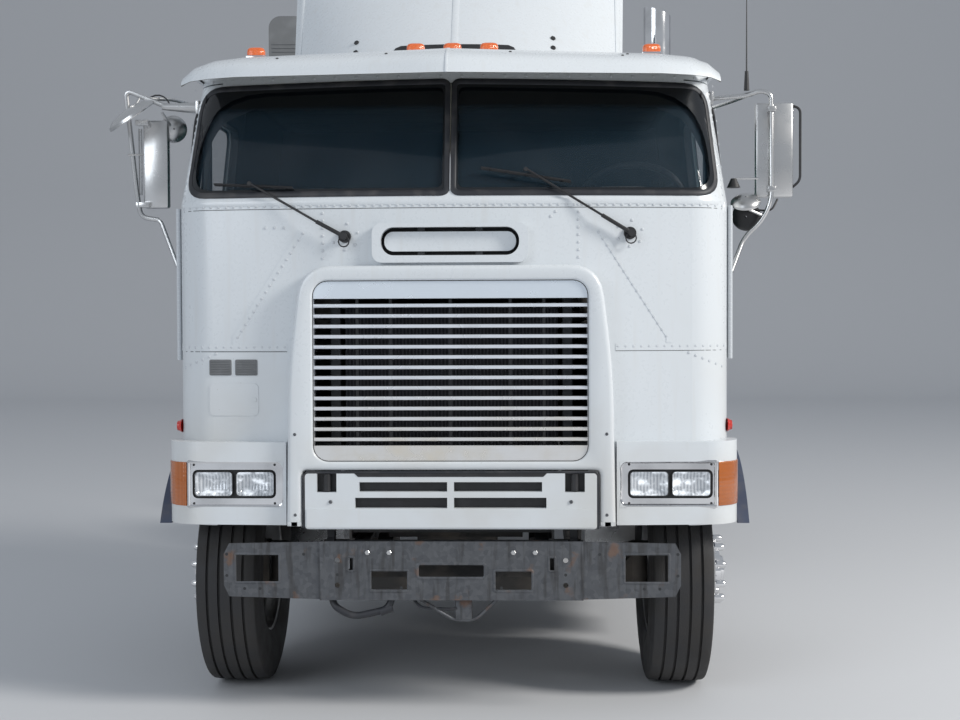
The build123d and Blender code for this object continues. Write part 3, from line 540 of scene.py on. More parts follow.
def rounded_path(points, r, steps=5, closed=False):
    """Corners of a path replaced by arcs of radius r."""
    points = [Vector(p) for p in points]
    count = len(points)
    path = []
    for i, p in enumerate(points):
        if not closed and i in (0, count - 1):
            path.append(p)
            continue
        a = (points[i - 1] - p)
        b = (points[(i + 1) % count] - p)
        reach = min(r, a.length * 0.45, b.length * 0.45)
        start, end = p + a.normalized() * reach, p + b.normalized() * reach
        for k in range(steps + 1):
            t = k / steps
            path.append(start * (1 - t) ** 2 + p * (2 * t * (1 - t)) + end * t * t)
    return path


def bent(bm, points, bend, r, sides=10, finish=0):
    """A round tube along points, its corners bent."""
    tube(bm, rounded_path(points, bend), r, sides, finish=finish)


def turned(bm, profile, centre, sides=64, axis="X", finish=0, way=1):
    """A profile of (offset, radius) turned about an axis through centre, its offsets times way."""
    centre = Vector(centre)
    rings = []
    for offset, radius in profile:
        ring = []
        for k in range(sides):
            u, v = radius * cos(2 * pi * k / sides), radius * sin(2 * pi * k / sides)
            local = {"X": (offset * way, u, v), "Y": (v, offset * way, u), "Z": (u, v, offset * way)}[axis]
            ring.append(bm.verts.new(centre + Vector(local)))
        rings.append(ring)
    joined(bm, rings, finish=finish)
    return rings


def tidy(bm):
    """Doubles merged and faces turned outwards."""
    bmesh.ops.remove_doubles(bm, verts=bm.verts, dist=1e-5)
    bmesh.ops.recalc_face_normals(bm, faces=bm.faces)
    return bm


# The cab's skin as a formula, for everything that lies on it

def section_at(z):
    """Half-width and nose of the cab at a height."""
    lean = max(0.0, z - BELT) / (EAVES - BELT)
    return CAB_HALF + lean * (ROOF_HALF - CAB_HALF), NOSE + lean * (ROOF_NOSE - NOSE)


def skin_y(x, z):
    half, nose = section_at(z)
    big = (half * half + BOW * BOW) / (2 * BOW)
    x = min(abs(x), half - 1e-4)
    middle = half - CORNER
    corner_y = nose + big - sqrt((big - CORNER) ** 2 - middle ** 2)
    touch = middle * big / (big - CORNER)
    if x <= touch:
        return FRONT + nose + big - sqrt(big * big - x * x)
    return FRONT + corner_y - sqrt(max(0.0, CORNER ** 2 - (x - middle) ** 2))


def on_front(x, z, off=0.0):
    """A point on the front skin and the way out of it."""
    e = 0.004
    dx = (skin_y(x + e, z) - skin_y(x - e, z)) / (2 * e)
    dz = (skin_y(x, z + e) - skin_y(x, z - e)) / (2 * e)
    out = Vector((dx, -1.0, dz)).normalized()
    return Vector((x, skin_y(x, z), z)) + out * off, out


def on_side(y, z, side=1, off=0.0):
    """A point on the flat of the cab's side and the way out of it."""
    half, _ = section_at(z)
    lean = (CAB_HALF - ROOF_HALF) / (EAVES - BELT) if z > BELT else 0.0
    out = Vector((side, 0, lean)).normalized()
    return Vector((side * half, y, z)) + out * off, out


def along(points, pitch):
    """Places a pitch apart along a line of (u, v) points."""
    places = []
    for (u0, v0), (u1, v1) in zip(points, points[1:]):
        count = max(1, round(hypot(u1 - u0, v1 - v0) / pitch))
        places += [(u0 + (u1 - u0) * k / count, v0 + (v1 - v0) * k / count) for k in range(count)]
    return places + [points[-1]]


def dome(radius, height, sides=8):
    """A rivet's head, standing on z = 0."""
    bm = bmesh.new()
    rings = [(0.0, radius), (height * 0.7, radius * 0.72), (height, radius * 0.1)]
    made = turned(bm, rings, (0, 0, 0), sides, "Z")
    bm.faces.new(made[-1])
    return tidy(bm)


def small_dome():
    return dome(0.0058, 0.003, 6)


def hexagon(radius, height):
    """A bolt's head, standing on z = 0."""
    bm = bmesh.new()
    made = turned(bm, [(0.0, radius), (height * 0.8, radius), (height, radius * 0.8)], (0, 0, 0), 6, "Z")
    bm.faces.new(made[-1])
    return tidy(bm)


def scattered(name, head, places, finish, body, smooth=True):
    """Copies of a small head at (point, way out) places, by Geometry Nodes, turned into a plain mesh."""
    mesh = bpy.data.meshes.new(name + "_points")
    mesh.from_pydata([p for p, _ in places], [], [])
    ways = mesh.attributes.new("way_out", "FLOAT_VECTOR", "POINT")
    ways.data.foreach_set("vector", [c for _, n in places for c in n])
    head_mesh = bpy.data.meshes.new(name + "_head")
    head.to_mesh(head_mesh)
    head.free()
    head_object = bpy.data.objects.new(name + "_head", head_mesh)
    tree = bpy.data.node_groups.new(name + "_tree", "GeometryNodeTree")
    tree.interface.new_socket("Geometry", in_out="INPUT", socket_type="NodeSocketGeometry")
    size_in = tree.interface.new_socket("Head size", in_out="INPUT", socket_type="NodeSocketFloat")
    tree.interface.new_socket("Geometry", in_out="OUTPUT", socket_type="NodeSocketGeometry")
    add = tree.nodes.new
    start, end = add("NodeGroupInput"), add("NodeGroupOutput")
    source = add("GeometryNodeObjectInfo")
    source.inputs["Object"].default_value = head_object
    way = add("GeometryNodeInputNamedAttribute")
    way.data_type = "FLOAT_VECTOR"
    way.inputs["Name"].default_value = "way_out"
    turn = add("FunctionNodeAlignRotationToVector")
    turn.axis = "Z"
    copies = add("GeometryNodeInstanceOnPoints")
    real = add("GeometryNodeRealizeInstances")
    paint = add("GeometryNodeSetMaterial")
    paint.inputs["Material"].default_value = finish
    join = tree.links.new
    join(start.outputs[0], copies.inputs["Points"])
    join(source.outputs["Geometry"], copies.inputs["Instance"])
    join(way.outputs["Attribute"], turn.inputs["Vector"])
    join(turn.outputs["Rotation"], copies.inputs["Rotation"])
    join(start.outputs[1], copies.inputs["Scale"])
    join(copies.outputs["Instances"], real.inputs[0])
    join(real.outputs[0], paint.inputs["Geometry"])
    join(paint.outputs[0], end.inputs[0])
    carrier = bpy.data.objects.new(name + "_carrier", mesh)
    bpy.context.scene.collection.objects.link(carrier)
    modifier = carrier.modifiers.new("copies", "NODES")
    modifier.node_group = tree
    modifier[size_in.identifier] = 1.0
    graph = bpy.context.evaluated_depsgraph_get()
    result = bpy.data.meshes.new_from_object(carrier.evaluated_get(graph))
    bpy.data.objects.remove(carrier)
    bpy.data.objects.remove(head_object)
    result.materials.clear()
    return adopt(name, result, finish, body, smooth)


# Running a section along the skin

def strip(bm, places, section, closed=False, finish=0):
    """Sweeps a section of (across, up) points along (point, way out) places."""
    count = len(places)
    rows = []
    for i, (p, out) in enumerate(places):
        before = places[(i - 1) % count][0] if closed or i else p
        after = places[(i + 1) % count][0] if closed or i < count - 1 else p
        side = (after - before).normalized().cross(out).normalized()
        rows.append([bm.verts.new(p + side * u + out * v) for u, v in section])
    joined(bm, rows + rows[:1] if closed else rows, False, finish)
    if not closed:
        for end in (rows[0], rows[-1]):
            bm.faces.new(end).material_index = finish


def bead_section(width, height):
    half = width / 2
    return [(-half, -0.002), (-half, height * 0.5), (-half * 0.6, height), (half * 0.6, height),
            (half, height * 0.5),
            (half, -0.002)]


def flat_section(left, right, height, foot=-0.002):
    return [(left, foot), (left, height), (right, height), (right, foot)]


def between(a, b, t):
    """The (u, v) point a part of the way from a to b."""
    return a[0] + (b[0] - a[0]) * t, a[1] + (b[1] - a[1]) * t


def ahead(x, z, d=0.0):
    """A point on a flat face that looks forward, and the way out of it."""
    return Vector((x, FRONT + d, z)), Vector((0, -1, 0))


def wall(bm, outline, y0, y1, side=1, closed=True):
    """Faces that stand along an outline of (x, z) points, from one depth to another."""
    for a, b in zip(outline, outline[1:] + outline[:1] if closed else outline[1:]):
        bm.faces.new([bm.verts.new((side * u, y, v)) for (u, v), y in ((a, y0), (b, y0), (b, y1), (a, y1))])


def front_line(points, pitch=0.03, off=0.0):
    return [on_front(x, z, off) for x, z in along(points, pitch)]


def eased(points, radii):
    """A closed outline of (x, z) points, each corner rounded by its own radius."""
    flat = []
    count = len(points)
    for i, (p, r) in enumerate(zip(points, radii)):
        p = Vector(p)
        a, b = Vector(points[i - 1]) - p, Vector(points[(i + 1) % count]) - p
        start, end = p + a.normalized() * r, p + b.normalized() * r
        for k in range(7):
            t = k / 6
            flat.append(start * (1 - t) ** 2 + p * (2 * t * (1 - t)) + end * t * t)
    return [tuple(v) for v in flat]


def front_loop(points, radii, pitch=0.04, off=0.0):
    flat = eased(points, radii)
    return [on_front(x, z, off) for x, z in along(flat + flat[:1], pitch)[:-1]]


WIND_SILL, WIND_HEAD = 2.2, 2.69
WIND_FOOT_X, WIND_TOP_X = 1.13, 1.095
POST = 0.012


def parted(bm, test):
    """Moves the faces that pass a test into a mesh of their own."""
    other = bm.copy()
    for mesh, wanted in ((bm, False), (other, True)):
        bmesh.ops.delete(mesh, geom=[f for f in mesh.faces if test(f.calc_center_median()) != wanted],
                         context="FACES")
    return other


def over_jambs(name, bm, finish):
    """A piece of the cab's front whose upper corners lie on the doors, cut at the door gap."""
    gap = FRONT + DOOR_GAP
    geom = bm.verts[:] + bm.edges[:] + bm.faces[:]
    bmesh.ops.bisect_plane(bm, geom=geom, plane_co=(0, gap, 0), plane_no=(0, 1, 0))
    for side, door in SIDES:
        corner = parted(bm, lambda c: c.y > gap and c.x * side > 0)
        piece(f"{name}_{door}", corner, finish, f"door_{door}")
    piece(name, bm, finish, "cab")


def windscreen_trim():
    """The panes' gaskets, the dark bands inside them, and the strips on the middle post and the sill."""
    gasket, band, post, sill = (bmesh.new() for _ in range(4))
    for side in (-1, 1):
        corners = [(side * POST, WIND_SILL), (side * WIND_FOOT_X, WIND_SILL),
                   (side * WIND_TOP_X, WIND_HEAD - 0.016), (side * POST, WIND_HEAD)]
        inner = [(side * (POST + 0.02), WIND_SILL + 0.022),
                 (side * (WIND_FOOT_X - 0.026), WIND_SILL + 0.022),
                 (side * (WIND_TOP_X - 0.022), WIND_HEAD - 0.042),
                 (side * (POST + 0.02), WIND_HEAD - 0.026)]
        strip(gasket, front_loop(corners, (0.03, 0.09, 0.09, 0.03)), bead_section(0.026, 0.007),
              closed=True)
        rings = []
        for t in (0.0, 0.2, 0.4, 0.6, 0.8, 1.0):
            flat = eased([between(a, b, t) for a, b in zip(corners, inner)],
                         (0.03, 0.09, 0.09 + 0.18 * t, 0.03))
            rings.append(along(flat + flat[:1], 0.03)[:-1])
        for a, b in zip(rings, rings[1:]):
            filled(band, a, [b], lambda u, v: on_front(u, v, 0.0022)[0])
    over_jambs("windscreen_gaskets", gasket, RUBBER)
    over_jambs("windscreen_bands", band, GLASS_BAND)
    strip(post, front_line([(0, WIND_SILL + 0.01), (0, WIND_HEAD - 0.01)], off=0.006),
          bead_section(0.007, 0.004))
    piece("windscreen_post_strip", post, CHROME, "cab")
    strip(sill, front_line([(-1.13, 2.163), (1.13, 2.163)]), bead_section(0.022, 0.003))
    piece("windscreen_sill_strip", sill, PAINT, "cab")


WIPERS = (((-0.44, 2.02), (-0.844, 2.24), (-1.0, 2.242), (-0.66, 2.222)),
          ((0.75, 2.03), (0.315, 2.29), (0.129, 2.30), (0.503, 2.24)))


def wipers():
    bm = bmesh.new()
    for pivot, tip, blade_a, blade_b in WIPERS:
        base, out = on_front(*pivot)
        bar(bm, base - out * 0.01, base + out * 0.012, 0.026, 20)
        bar(bm, base + out * 0.012, base + out * 0.042, 0.014, 16)
        knee = on_front(*between(pivot, tip, 0.28), 0.036)[0]
        tube(bm, [base + out * 0.034, knee], 0.0085)
        tube(bm, [knee, on_front(*tip, 0.03)[0]], 0.005)
        end = on_front(*tip, 0.024)[0]
        bar(bm, end - out * 0.012, end + out * 0.012, 0.009)
        for off, r in ((0.022, 0.004), (0.008, 0.0035)):
            tube(bm, [p for p, _ in front_line([blade_a, blade_b], 0.05, off)], r, 6)
        for k in range(5):
            claw = between(blade_a, blade_b, (k + 0.5) / 5)
            bar(bm, on_front(*claw, 0.006)[0], on_front(*claw, 0.024)[0], 0.004, 6)
        turns = [radians(30 * k) for k in range(13)]
        coil = [on_front(pivot[0] + 0.022 * sin(a), pivot[1] - 0.022 - 0.022 * cos(a), 0.03)[0]
                for a in turns]
        tube(bm, coil, 0.003, 6)
    piece("wiper_sets", bm, BLACK_TRIM, "cab", replaces=("wipers",))


# Lamps

LAMP_CENTRES = (0.829, 1.005)
LAMP_HALF = (0.082, 0.0535)
LAMP_Z = 0.9815
LAMP_DEPTH = 0.070
BEZEL_IN, BEZEL_OUT, BEZEL_LOW, BEZEL_HIGH = 0.706, 1.1085, 0.888, 1.0755


def lamp_window(bm, cx, r, rows, side, finishes):
    """Rings of a lamp's rounded outline at (grow, y) rows, joined and closed with a face."""
    rings = []
    for grow, y in rows:
        w, h, rr = LAMP_HALF[0] + grow, LAMP_HALF[1] + grow, max(0.004, r + grow)
        outline = rounded_box_outline(cx - w, cx + w, LAMP_Z - h, LAMP_Z + h, rr)
        rings.append([bm.verts.new((side * u, y, v)) for u, v in outline])
    for a, b, finish in zip(rings, rings[1:], finishes):
        joined(bm, [a, b], finish=finish)
    bm.faces.new(rings[-1]).material_index = finishes[-1]


def headlamps():
    """Bezels with a black carrier, bowls and lenses, and the paint beside the bezels' rounded corners."""
    bezel, lens, fill = (bmesh.new() for _ in range(3))
    face = FRONT + LAMP_DEPTH
    w, h = LAMP_HALF
    gap = 0.007
    ring = eased([(BEZEL_IN, BEZEL_LOW), (BEZEL_OUT, BEZEL_LOW), (BEZEL_OUT, BEZEL_HIGH),
                  (BEZEL_IN, BEZEL_HIGH)],
                 (0.03, 0.004, 0.004, 0.03))
    mouth = rounded_box_outline(LAMP_CENTRES[0] - w - gap, LAMP_CENTRES[1] + w + gap, LAMP_Z - h - gap,
                                LAMP_Z + h + gap,
                                0.022)
    holes = [rounded_box_outline(cx - w, cx + w, LAMP_Z - h, LAMP_Z + h, 0.017) for cx in LAMP_CENTRES]
    for side in (-1, 1):
        filled(bezel, ring, [mouth], lambda u, v: Vector((side * u, face, v)))
        filled(bezel, mouth, holes, lambda u, v: Vector((side * u, face + 0.010, v)), finish=2)
        wall(bezel, mouth, face, face + 0.011, side)
        edge = [ahead(side * x, z, LAMP_DEPTH) for x, z in along(ring + ring[:1], 0.05)[:-1]]
        strip(bezel, edge, [(0.006, 0.0), (0.006, 0.008), (0.0, 0.011), (-0.008, 0.004), (-0.010, 0.0)],
              closed=True)
        for z0, z1 in ((0.886, 0.918), (1.0775, 1.0455)):
            arc = [(BEZEL_IN + 0.03 * (1 - sin(radians(15 * k))),
                    z0 + (z1 - z0) * (1 - cos(radians(15 * k))))
                   for k in range(7)]
            front = from_ahead("corner_panels", side * 0.698, z0)[0].y - 0.0005
            filled(fill, [(0.703, z0), *arc], [], lambda u, v: Vector((side * u, front, v)))
            wall(fill, arc, front, face, side, closed=False)
        for cx in LAMP_CENTRES:
            bowl = [(0.001, face + 0.011), (0.001, face - 0.001), (0.0, face - 0.003),
                    (-0.002, face - 0.003),
                    (-0.004, face + 0.002), (-0.028, face + 0.022)]
            lamp_window(bezel, cx, 0.018, bowl, side, [2, 2, 2, 2, 3, 3])
            front = [(-0.0025, face - 0.002), (-0.004, face - 0.006), (-0.020, face - 0.009)]
            lamp_window(lens, cx, 0.016, front, side, [0, 0, 0])
    metals = [CHROME, BLACK_TRIM, BLACK_TRIM, PAINTED_GLINT_REFLECTOR]
    piece("headlamp_units", bezel, metals, "cab", replaces=("headlamps",))
    piece("headlamp_lenses", lens, LENS, "cab")
    piece("bezel_corners", fill, PAINT, "cab")
    places = [ahead(s * x, z, LAMP_DEPTH - 0.001) for s in (-1, 1) for x in (0.745, 1.088)
              for z in (0.900, 1.063)]
    scattered("headlamp_screws", dome(0.0055, 0.003), places, BLACK_TRIM, "cab")


def turn_lamps():
    """Amber lenses wrapped round the corners, level with the headlamp bezels."""
    section = ((0.889, -0.002), (0.890, 0.003), (0.893, 0.0045), (1.071, 0.0045), (1.074, 0.003),
               (1.075, -0.002))
    bm = bmesh.new()
    for side in (-1, 1):
        columns = []
        for k in range(15):
            a = radians(-61 + 4.6 * k)
            way = Vector((side * cos(a), sin(a), 0))
            p, out = hit("corner_panels", Vector((side, FRONT + 0.25, 1.10)) + way * 0.6, -way)
            out = Vector((out.x, out.y, 0)).normalized()
            if side * p.x >= 1.112:
                columns.append([bm.verts.new(Vector((p.x, p.y, z)) + out * off) for z, off in section])
        joined(bm, columns, closed=False)
        for column in (columns[0], columns[-1]):
            bm.faces.new(column)
    piece("turn_lenses", bm, AMBER, "cab", replaces=("turn_lamps",))


MARKERS = (-0.87, -0.16, 0.0, 0.16, 0.87)


def marker_lamps():
    # columns: half-width, half-depth and height of a lens's rings
    rows = ((0.0395, 0.0255, 2.838), (0.0395, 0.0255, 2.856), (0.038, 0.024, 2.865), (0.033, 0.019, 2.872),
            (0.02, 0.010, 2.876))
    lens, base = bmesh.new(), bmesh.new()
    for x in MARKERS:
        y = FRONT + 0.338 + BOW * (x / ROOF_HALF) ** 2
        block(base, (x - 0.043, y - 0.029, 2.82), (x + 0.043, y + 0.029, 2.840), 0.006)
        rings = []
        for w, d, z in rows:
            outline = rounded_box_outline(x - w, x + w, y - d, y + d, min(w, d) * 0.7)
            rings.append([lens.verts.new((u, v, z)) for u, v in outline])
        joined(lens, rings)
        lens.faces.new(rings[-1])
    piece("marker_lenses", lens, BEACON, "cab", replaces=("marker_lamps",))
    piece("marker_bases", base, CHROME, "cab")


# Tyres and wheels, turned about X; a profile runs from the inner bead round to the outer one

TYRE_R = 0.508
TYRE_HALF = 0.14
RIM_R = 0.286
RIM_LIP = 0.118
STUD_R = 0.1429
DRIVE_AXLES = ((1, 4.52), (2, 5.84))
# where the inner and the outer wheel of a twin pair are, and where their discs meet
TWIN_X = (0.745, 1.08)
TWIN_MEET = 0.9125


def tyre_profile(grooves, depth, crown=0.006):
    """Offsets and radii of a tyre's outside, with its grooves."""
    # columns: part of the half-width, radius
    flank = [(0.86, RIM_R - 0.004), (0.9, RIM_R + 0.012), (0.99, RIM_R + 0.055), (1.0, RIM_R + 0.1),
             (0.985, RIM_R + 0.135), (0.99, RIM_R + 0.14), (0.975, RIM_R + 0.148), (0.95, RIM_R + 0.18),
             (0.935, TYRE_R - 0.026), (0.9, TYRE_R - 0.011), (0.85, TYRE_R - crown)]
    tread = [(u + du, TYRE_R - crown * ((u + du) / TYRE_HALF) ** 2 - deep) for u in grooves
             for du, deep in ((-0.006, 0.0), (-0.004, depth), (0.004, depth), (0.006, 0.0))]
    back = [(u * TYRE_HALF, r) for u, r in reversed(flank)]
    return [(-u * TYRE_HALF, r) for u, r in flank] + tread + back


def tyre(bm, x, y, grooves, depth, lugs=0):
    turned(bm, tyre_profile(grooves, depth), (x, y, AXLE_Z), 88)
    for k in range(lugs):
        for side in (-1, 1):
            a = 2 * pi * (k + (0.5 if side > 0 else 0)) / lugs
            place = Matrix.Translation((x, y, AXLE_Z)) @ Matrix.Rotation(a, 4, "X")
            place @= Matrix.Translation((side * TYRE_HALF * 0.78, 0, TYRE_R - 0.012))
            box(bm, place @ Matrix.Diagonal((TYRE_HALF * 0.26, 0.026, 0.026, 1)), 0.003, 1)


def cut(mesh, cutter):
    """The mesh less the cutter's solids."""
    scene = bpy.context.scene.collection
    cutter_mesh = bpy.data.meshes.new("cutter")
    cutter.to_mesh(cutter_mesh)
    cutter.free()
    body, tool = bpy.data.objects.new("cut_body", mesh), bpy.data.objects.new("cut_tool", cutter_mesh)
    for made in (body, tool):
        scene.objects.link(made)
    modifier = body.modifiers.new("cut", "BOOLEAN")
    modifier.operation, modifier.solver, modifier.object = "DIFFERENCE", "EXACT", tool
    result = bpy.data.meshes.new_from_object(body.evaluated_get(bpy.context.evaluated_depsgraph_get()))
    bpy.data.objects.remove(body)
    bpy.data.objects.remove(tool)
    return result


def disc_mesh(face, root, holes):
    """A wheel's dished disc about X: flat plate at face, cone out to the rim at root, ten hand holes."""
    t = 0.013
    slope = (root - face) / 0.087
    front = [(face, 0.09), (face, 0.17), (face + slope * 0.004, 0.186), (face + slope * 0.03, 0.212),
             (root, 0.272)]
    bm = bmesh.new()
    turned(bm, front + [(u - t, r) for u, r in reversed(front)] + front[:1], (0, 0, 0), 60)
    tidy(bm)
    mesh = bpy.data.meshes.new("disc")
    bm.to_mesh(mesh)
    bm.free()
    if not holes:
        return mesh
    tools = bmesh.new()
    for n in range(10):
        a = radians(36 * n + 18)
        bar(tools, (-0.4, 0.226 * sin(a), 0.226 * cos(a)), (0.4, 0.226 * sin(a), 0.226 * cos(a)), 0.027, 16)
    return cut(mesh, tools)


def add_disc(bm, mesh, x, y, side):
    """Adds a disc with its outer face looking to side."""
    others = set(bm.verts)
    bm.from_mesh(mesh)
    for v in [v for v in bm.verts if v not in others]:
        v.co = Vector((side * v.co.x + x, v.co.y + y, v.co.z + AXLE_Z))


def rim(bm, x, y):
    half = [(RIM_LIP - 0.012, RIM_R + 0.002), (RIM_LIP, RIM_R + 0.012), (RIM_LIP + 0.004, RIM_R + 0.006),
            (RIM_LIP - 0.004, RIM_R - 0.012), (RIM_LIP - 0.03, RIM_R - 0.018), (0.03, RIM_R - 0.028)]
    turned(bm, half + [(-u, r) for u, r in reversed(half)], (x, y, AXLE_Z), 64)
    turned(bm, [(u, RIM_R + 0.002) for u in (RIM_LIP - 0.012, 0.012 - RIM_LIP)], (x, y, AXLE_Z), 64)


def studs(bm, x, y, side, reach, r):
    """Ten nuts or nut covers, standing out from x."""
    profile = [(0.0, r * 1.25), (0.006, r * 1.25), (0.010, r), (reach * 0.8, r * 0.92),
               (reach * 0.95, r * 0.6),
               (reach, 0.001)]
    for n in range(10):
        a = radians(36 * n)
        turned(bm, profile, (x, y + STUD_R * sin(a), AXLE_Z + STUD_R * cos(a)), 12, finish=1, way=side)


HUB_FRONT = [(0.160, 0.10), (0.183, 0.10), (0.187, 0.094), (0.215, 0.086), (0.221, 0.066), (0.233, 0.060),
             (0.236, 0.05), (0.236, 0.001)]
HUB_REAR = [(0.0, 0.125), (0.075, 0.118), (0.082, 0.108), (0.150, 0.100), (0.154, 0.112), (0.162, 0.112),
            (0.168, 0.096),
            (0.196, 0.082), (0.199, 0.07), (0.199, 0.001)]


def wheels():
    """Steered wheels with their hub covers and brake drums, and the driven twin wheels with their hubs."""
    front, outer = disc_mesh(0.179, 0.095, True), disc_mesh(-0.1535, -0.06, True)
    inner = disc_mesh(0.1535, 0.06, False)
    front_drum = ((-0.06, 0.05), (-0.06, 0.2), (0.06, 0.205), (0.14, 0.15))
    rear_drum = ((-0.25, 0.05), (-0.25, 0.2), (-0.03, 0.205), (-0.015, 0.12))
    metals = [WHEEL_METAL, CHROME, IRON]
    for side, name in SIDES:
        bm = bmesh.new()
        x, y = side * STEER_X, FRONT_AXLE_Y
        rim(bm, x, y)
        add_disc(bm, front, x, y, side)
        turned(bm, HUB_FRONT, (x, y, AXLE_Z), 40, finish=1, way=side)
        studs(bm, x + side * 0.179, y, side, 0.054, 0.018)
        turned(bm, front_drum, (x, y, AXLE_Z), 48, finish=2, way=side)
        body = f"front_wheel_{name}"
        piece(f"steer_wheel_{name}", bm, metals, body, replaces=(body,))
        for n, d in DRIVE_AXLES:
            bm = bmesh.new()
            x, y = side * TWIN_MEET, FRONT + d
            for centre, disc in zip(TWIN_X, (inner, outer)):
                rim(bm, side * centre, y)
                add_disc(bm, disc, side * centre, y, side)
            turned(bm, HUB_REAR, (x, y, AXLE_Z), 40, finish=2, way=side)
            studs(bm, x + side * 0.013, y, side, 0.045, 0.016)
            turned(bm, rear_drum, (x, y, AXLE_Z), 48, finish=2, way=side)
            for k in range(8):
                a = 2 * pi * k / 8
                bolt = Vector((x + side * 0.162, y + 0.1 * sin(a), AXLE_Z + 0.1 * cos(a)))
                bar(bm, bolt, bolt + Vector((side * 0.012, 0, 0)), 0.009, 6, finish=2)
            piece(f"dual_wheels_{n}_{name}", bm, metals, f"drive_{n}_{name}",
                  replaces=(f"drive_wheels_{n}_{name}",))


def tyres():
    ribs, lugged = (-0.078, -0.027, 0.027, 0.078), (-0.05, 0.0, 0.05)
    for side, name in SIDES:
        bm = bmesh.new()
        tyre(bm, side * STEER_X, FRONT_AXLE_Y, ribs, 0.013)
        piece(f"steer_tyre_{name}", bm, TYRE, f"front_wheel_{name}",
              replaces=(f"front_tyre_{name}",))
        for n, d in DRIVE_AXLES:
            bm = bmesh.new()
            for x in TWIN_X:
                tyre(bm, side * x, FRONT + d, lugged, 0.016, lugs=46)
            piece(f"lug_tyres_{n}_{name}", bm, TYRE, f"drive_{n}_{name}",
                  replaces=(f"drive_tyres_{n}_{name}",))


# Mirrors

MIRROR_Y = FRONT + 0.43


def round_mirror(bm, centre, facing, r, deep=0.03, finish=0):
    """A bowl with its glass looking along facing."""
    centre, facing = Vector(centre), Vector(facing).normalized()
    turn = Matrix.Translation(centre) @ frame_about(facing)
    others = set(bm.verts)
    bowl = [(-deep, 0.004), (-deep * 0.96, r * 0.35), (-deep * 0.7, r * 0.75), (-deep * 0.3, r * 0.96),
            (0.0, r), (0.004, r * 0.985),
            (0.004, r * 0.94)]
    turned(bm, bowl, (0, 0, 0), 32, "Z", finish=finish)
    turned(bm, [(0.002, r * 0.95), (0.0035, r * 0.6), (0.004, 0.001)], (0, 0, 0), 32, "Z", finish=1)
    for v in [v for v in bm.verts if v not in others]:
        v.co = turn @ v.co


def mirror_head(bm, low, high):
    """A stainless box with rounded edges; its glass looks to the rear behind a rubber rim."""
    block(bm, low, high, 0.012)
    x0, y, z0 = low[0] + 0.010, high[1], low[2] + 0.010
    x1, z1 = high[0] - 0.010, high[2] - 0.010
    block(bm, (x0, y - 0.004, z0), (x1, y + 0.002, z1), 0.0015, finish=2)
    block(bm, (x0 + 0.006, y - 0.001, z0 + 0.006), (x1 - 0.006, y + 0.003, z1 - 0.006), finish=1)


def mirror_feet(bm, side, places, half):
    """Pads where a mirror's arms meet the door's upper edge, at (behind the front, height) places."""
    for d, z in places:
        at = on_side(FRONT + d, z, side)[0]
        block(bm, at - Vector((side * 0.008, half, 0.03)), at + Vector((side * 0.012, half, 0.03)), 0.003)


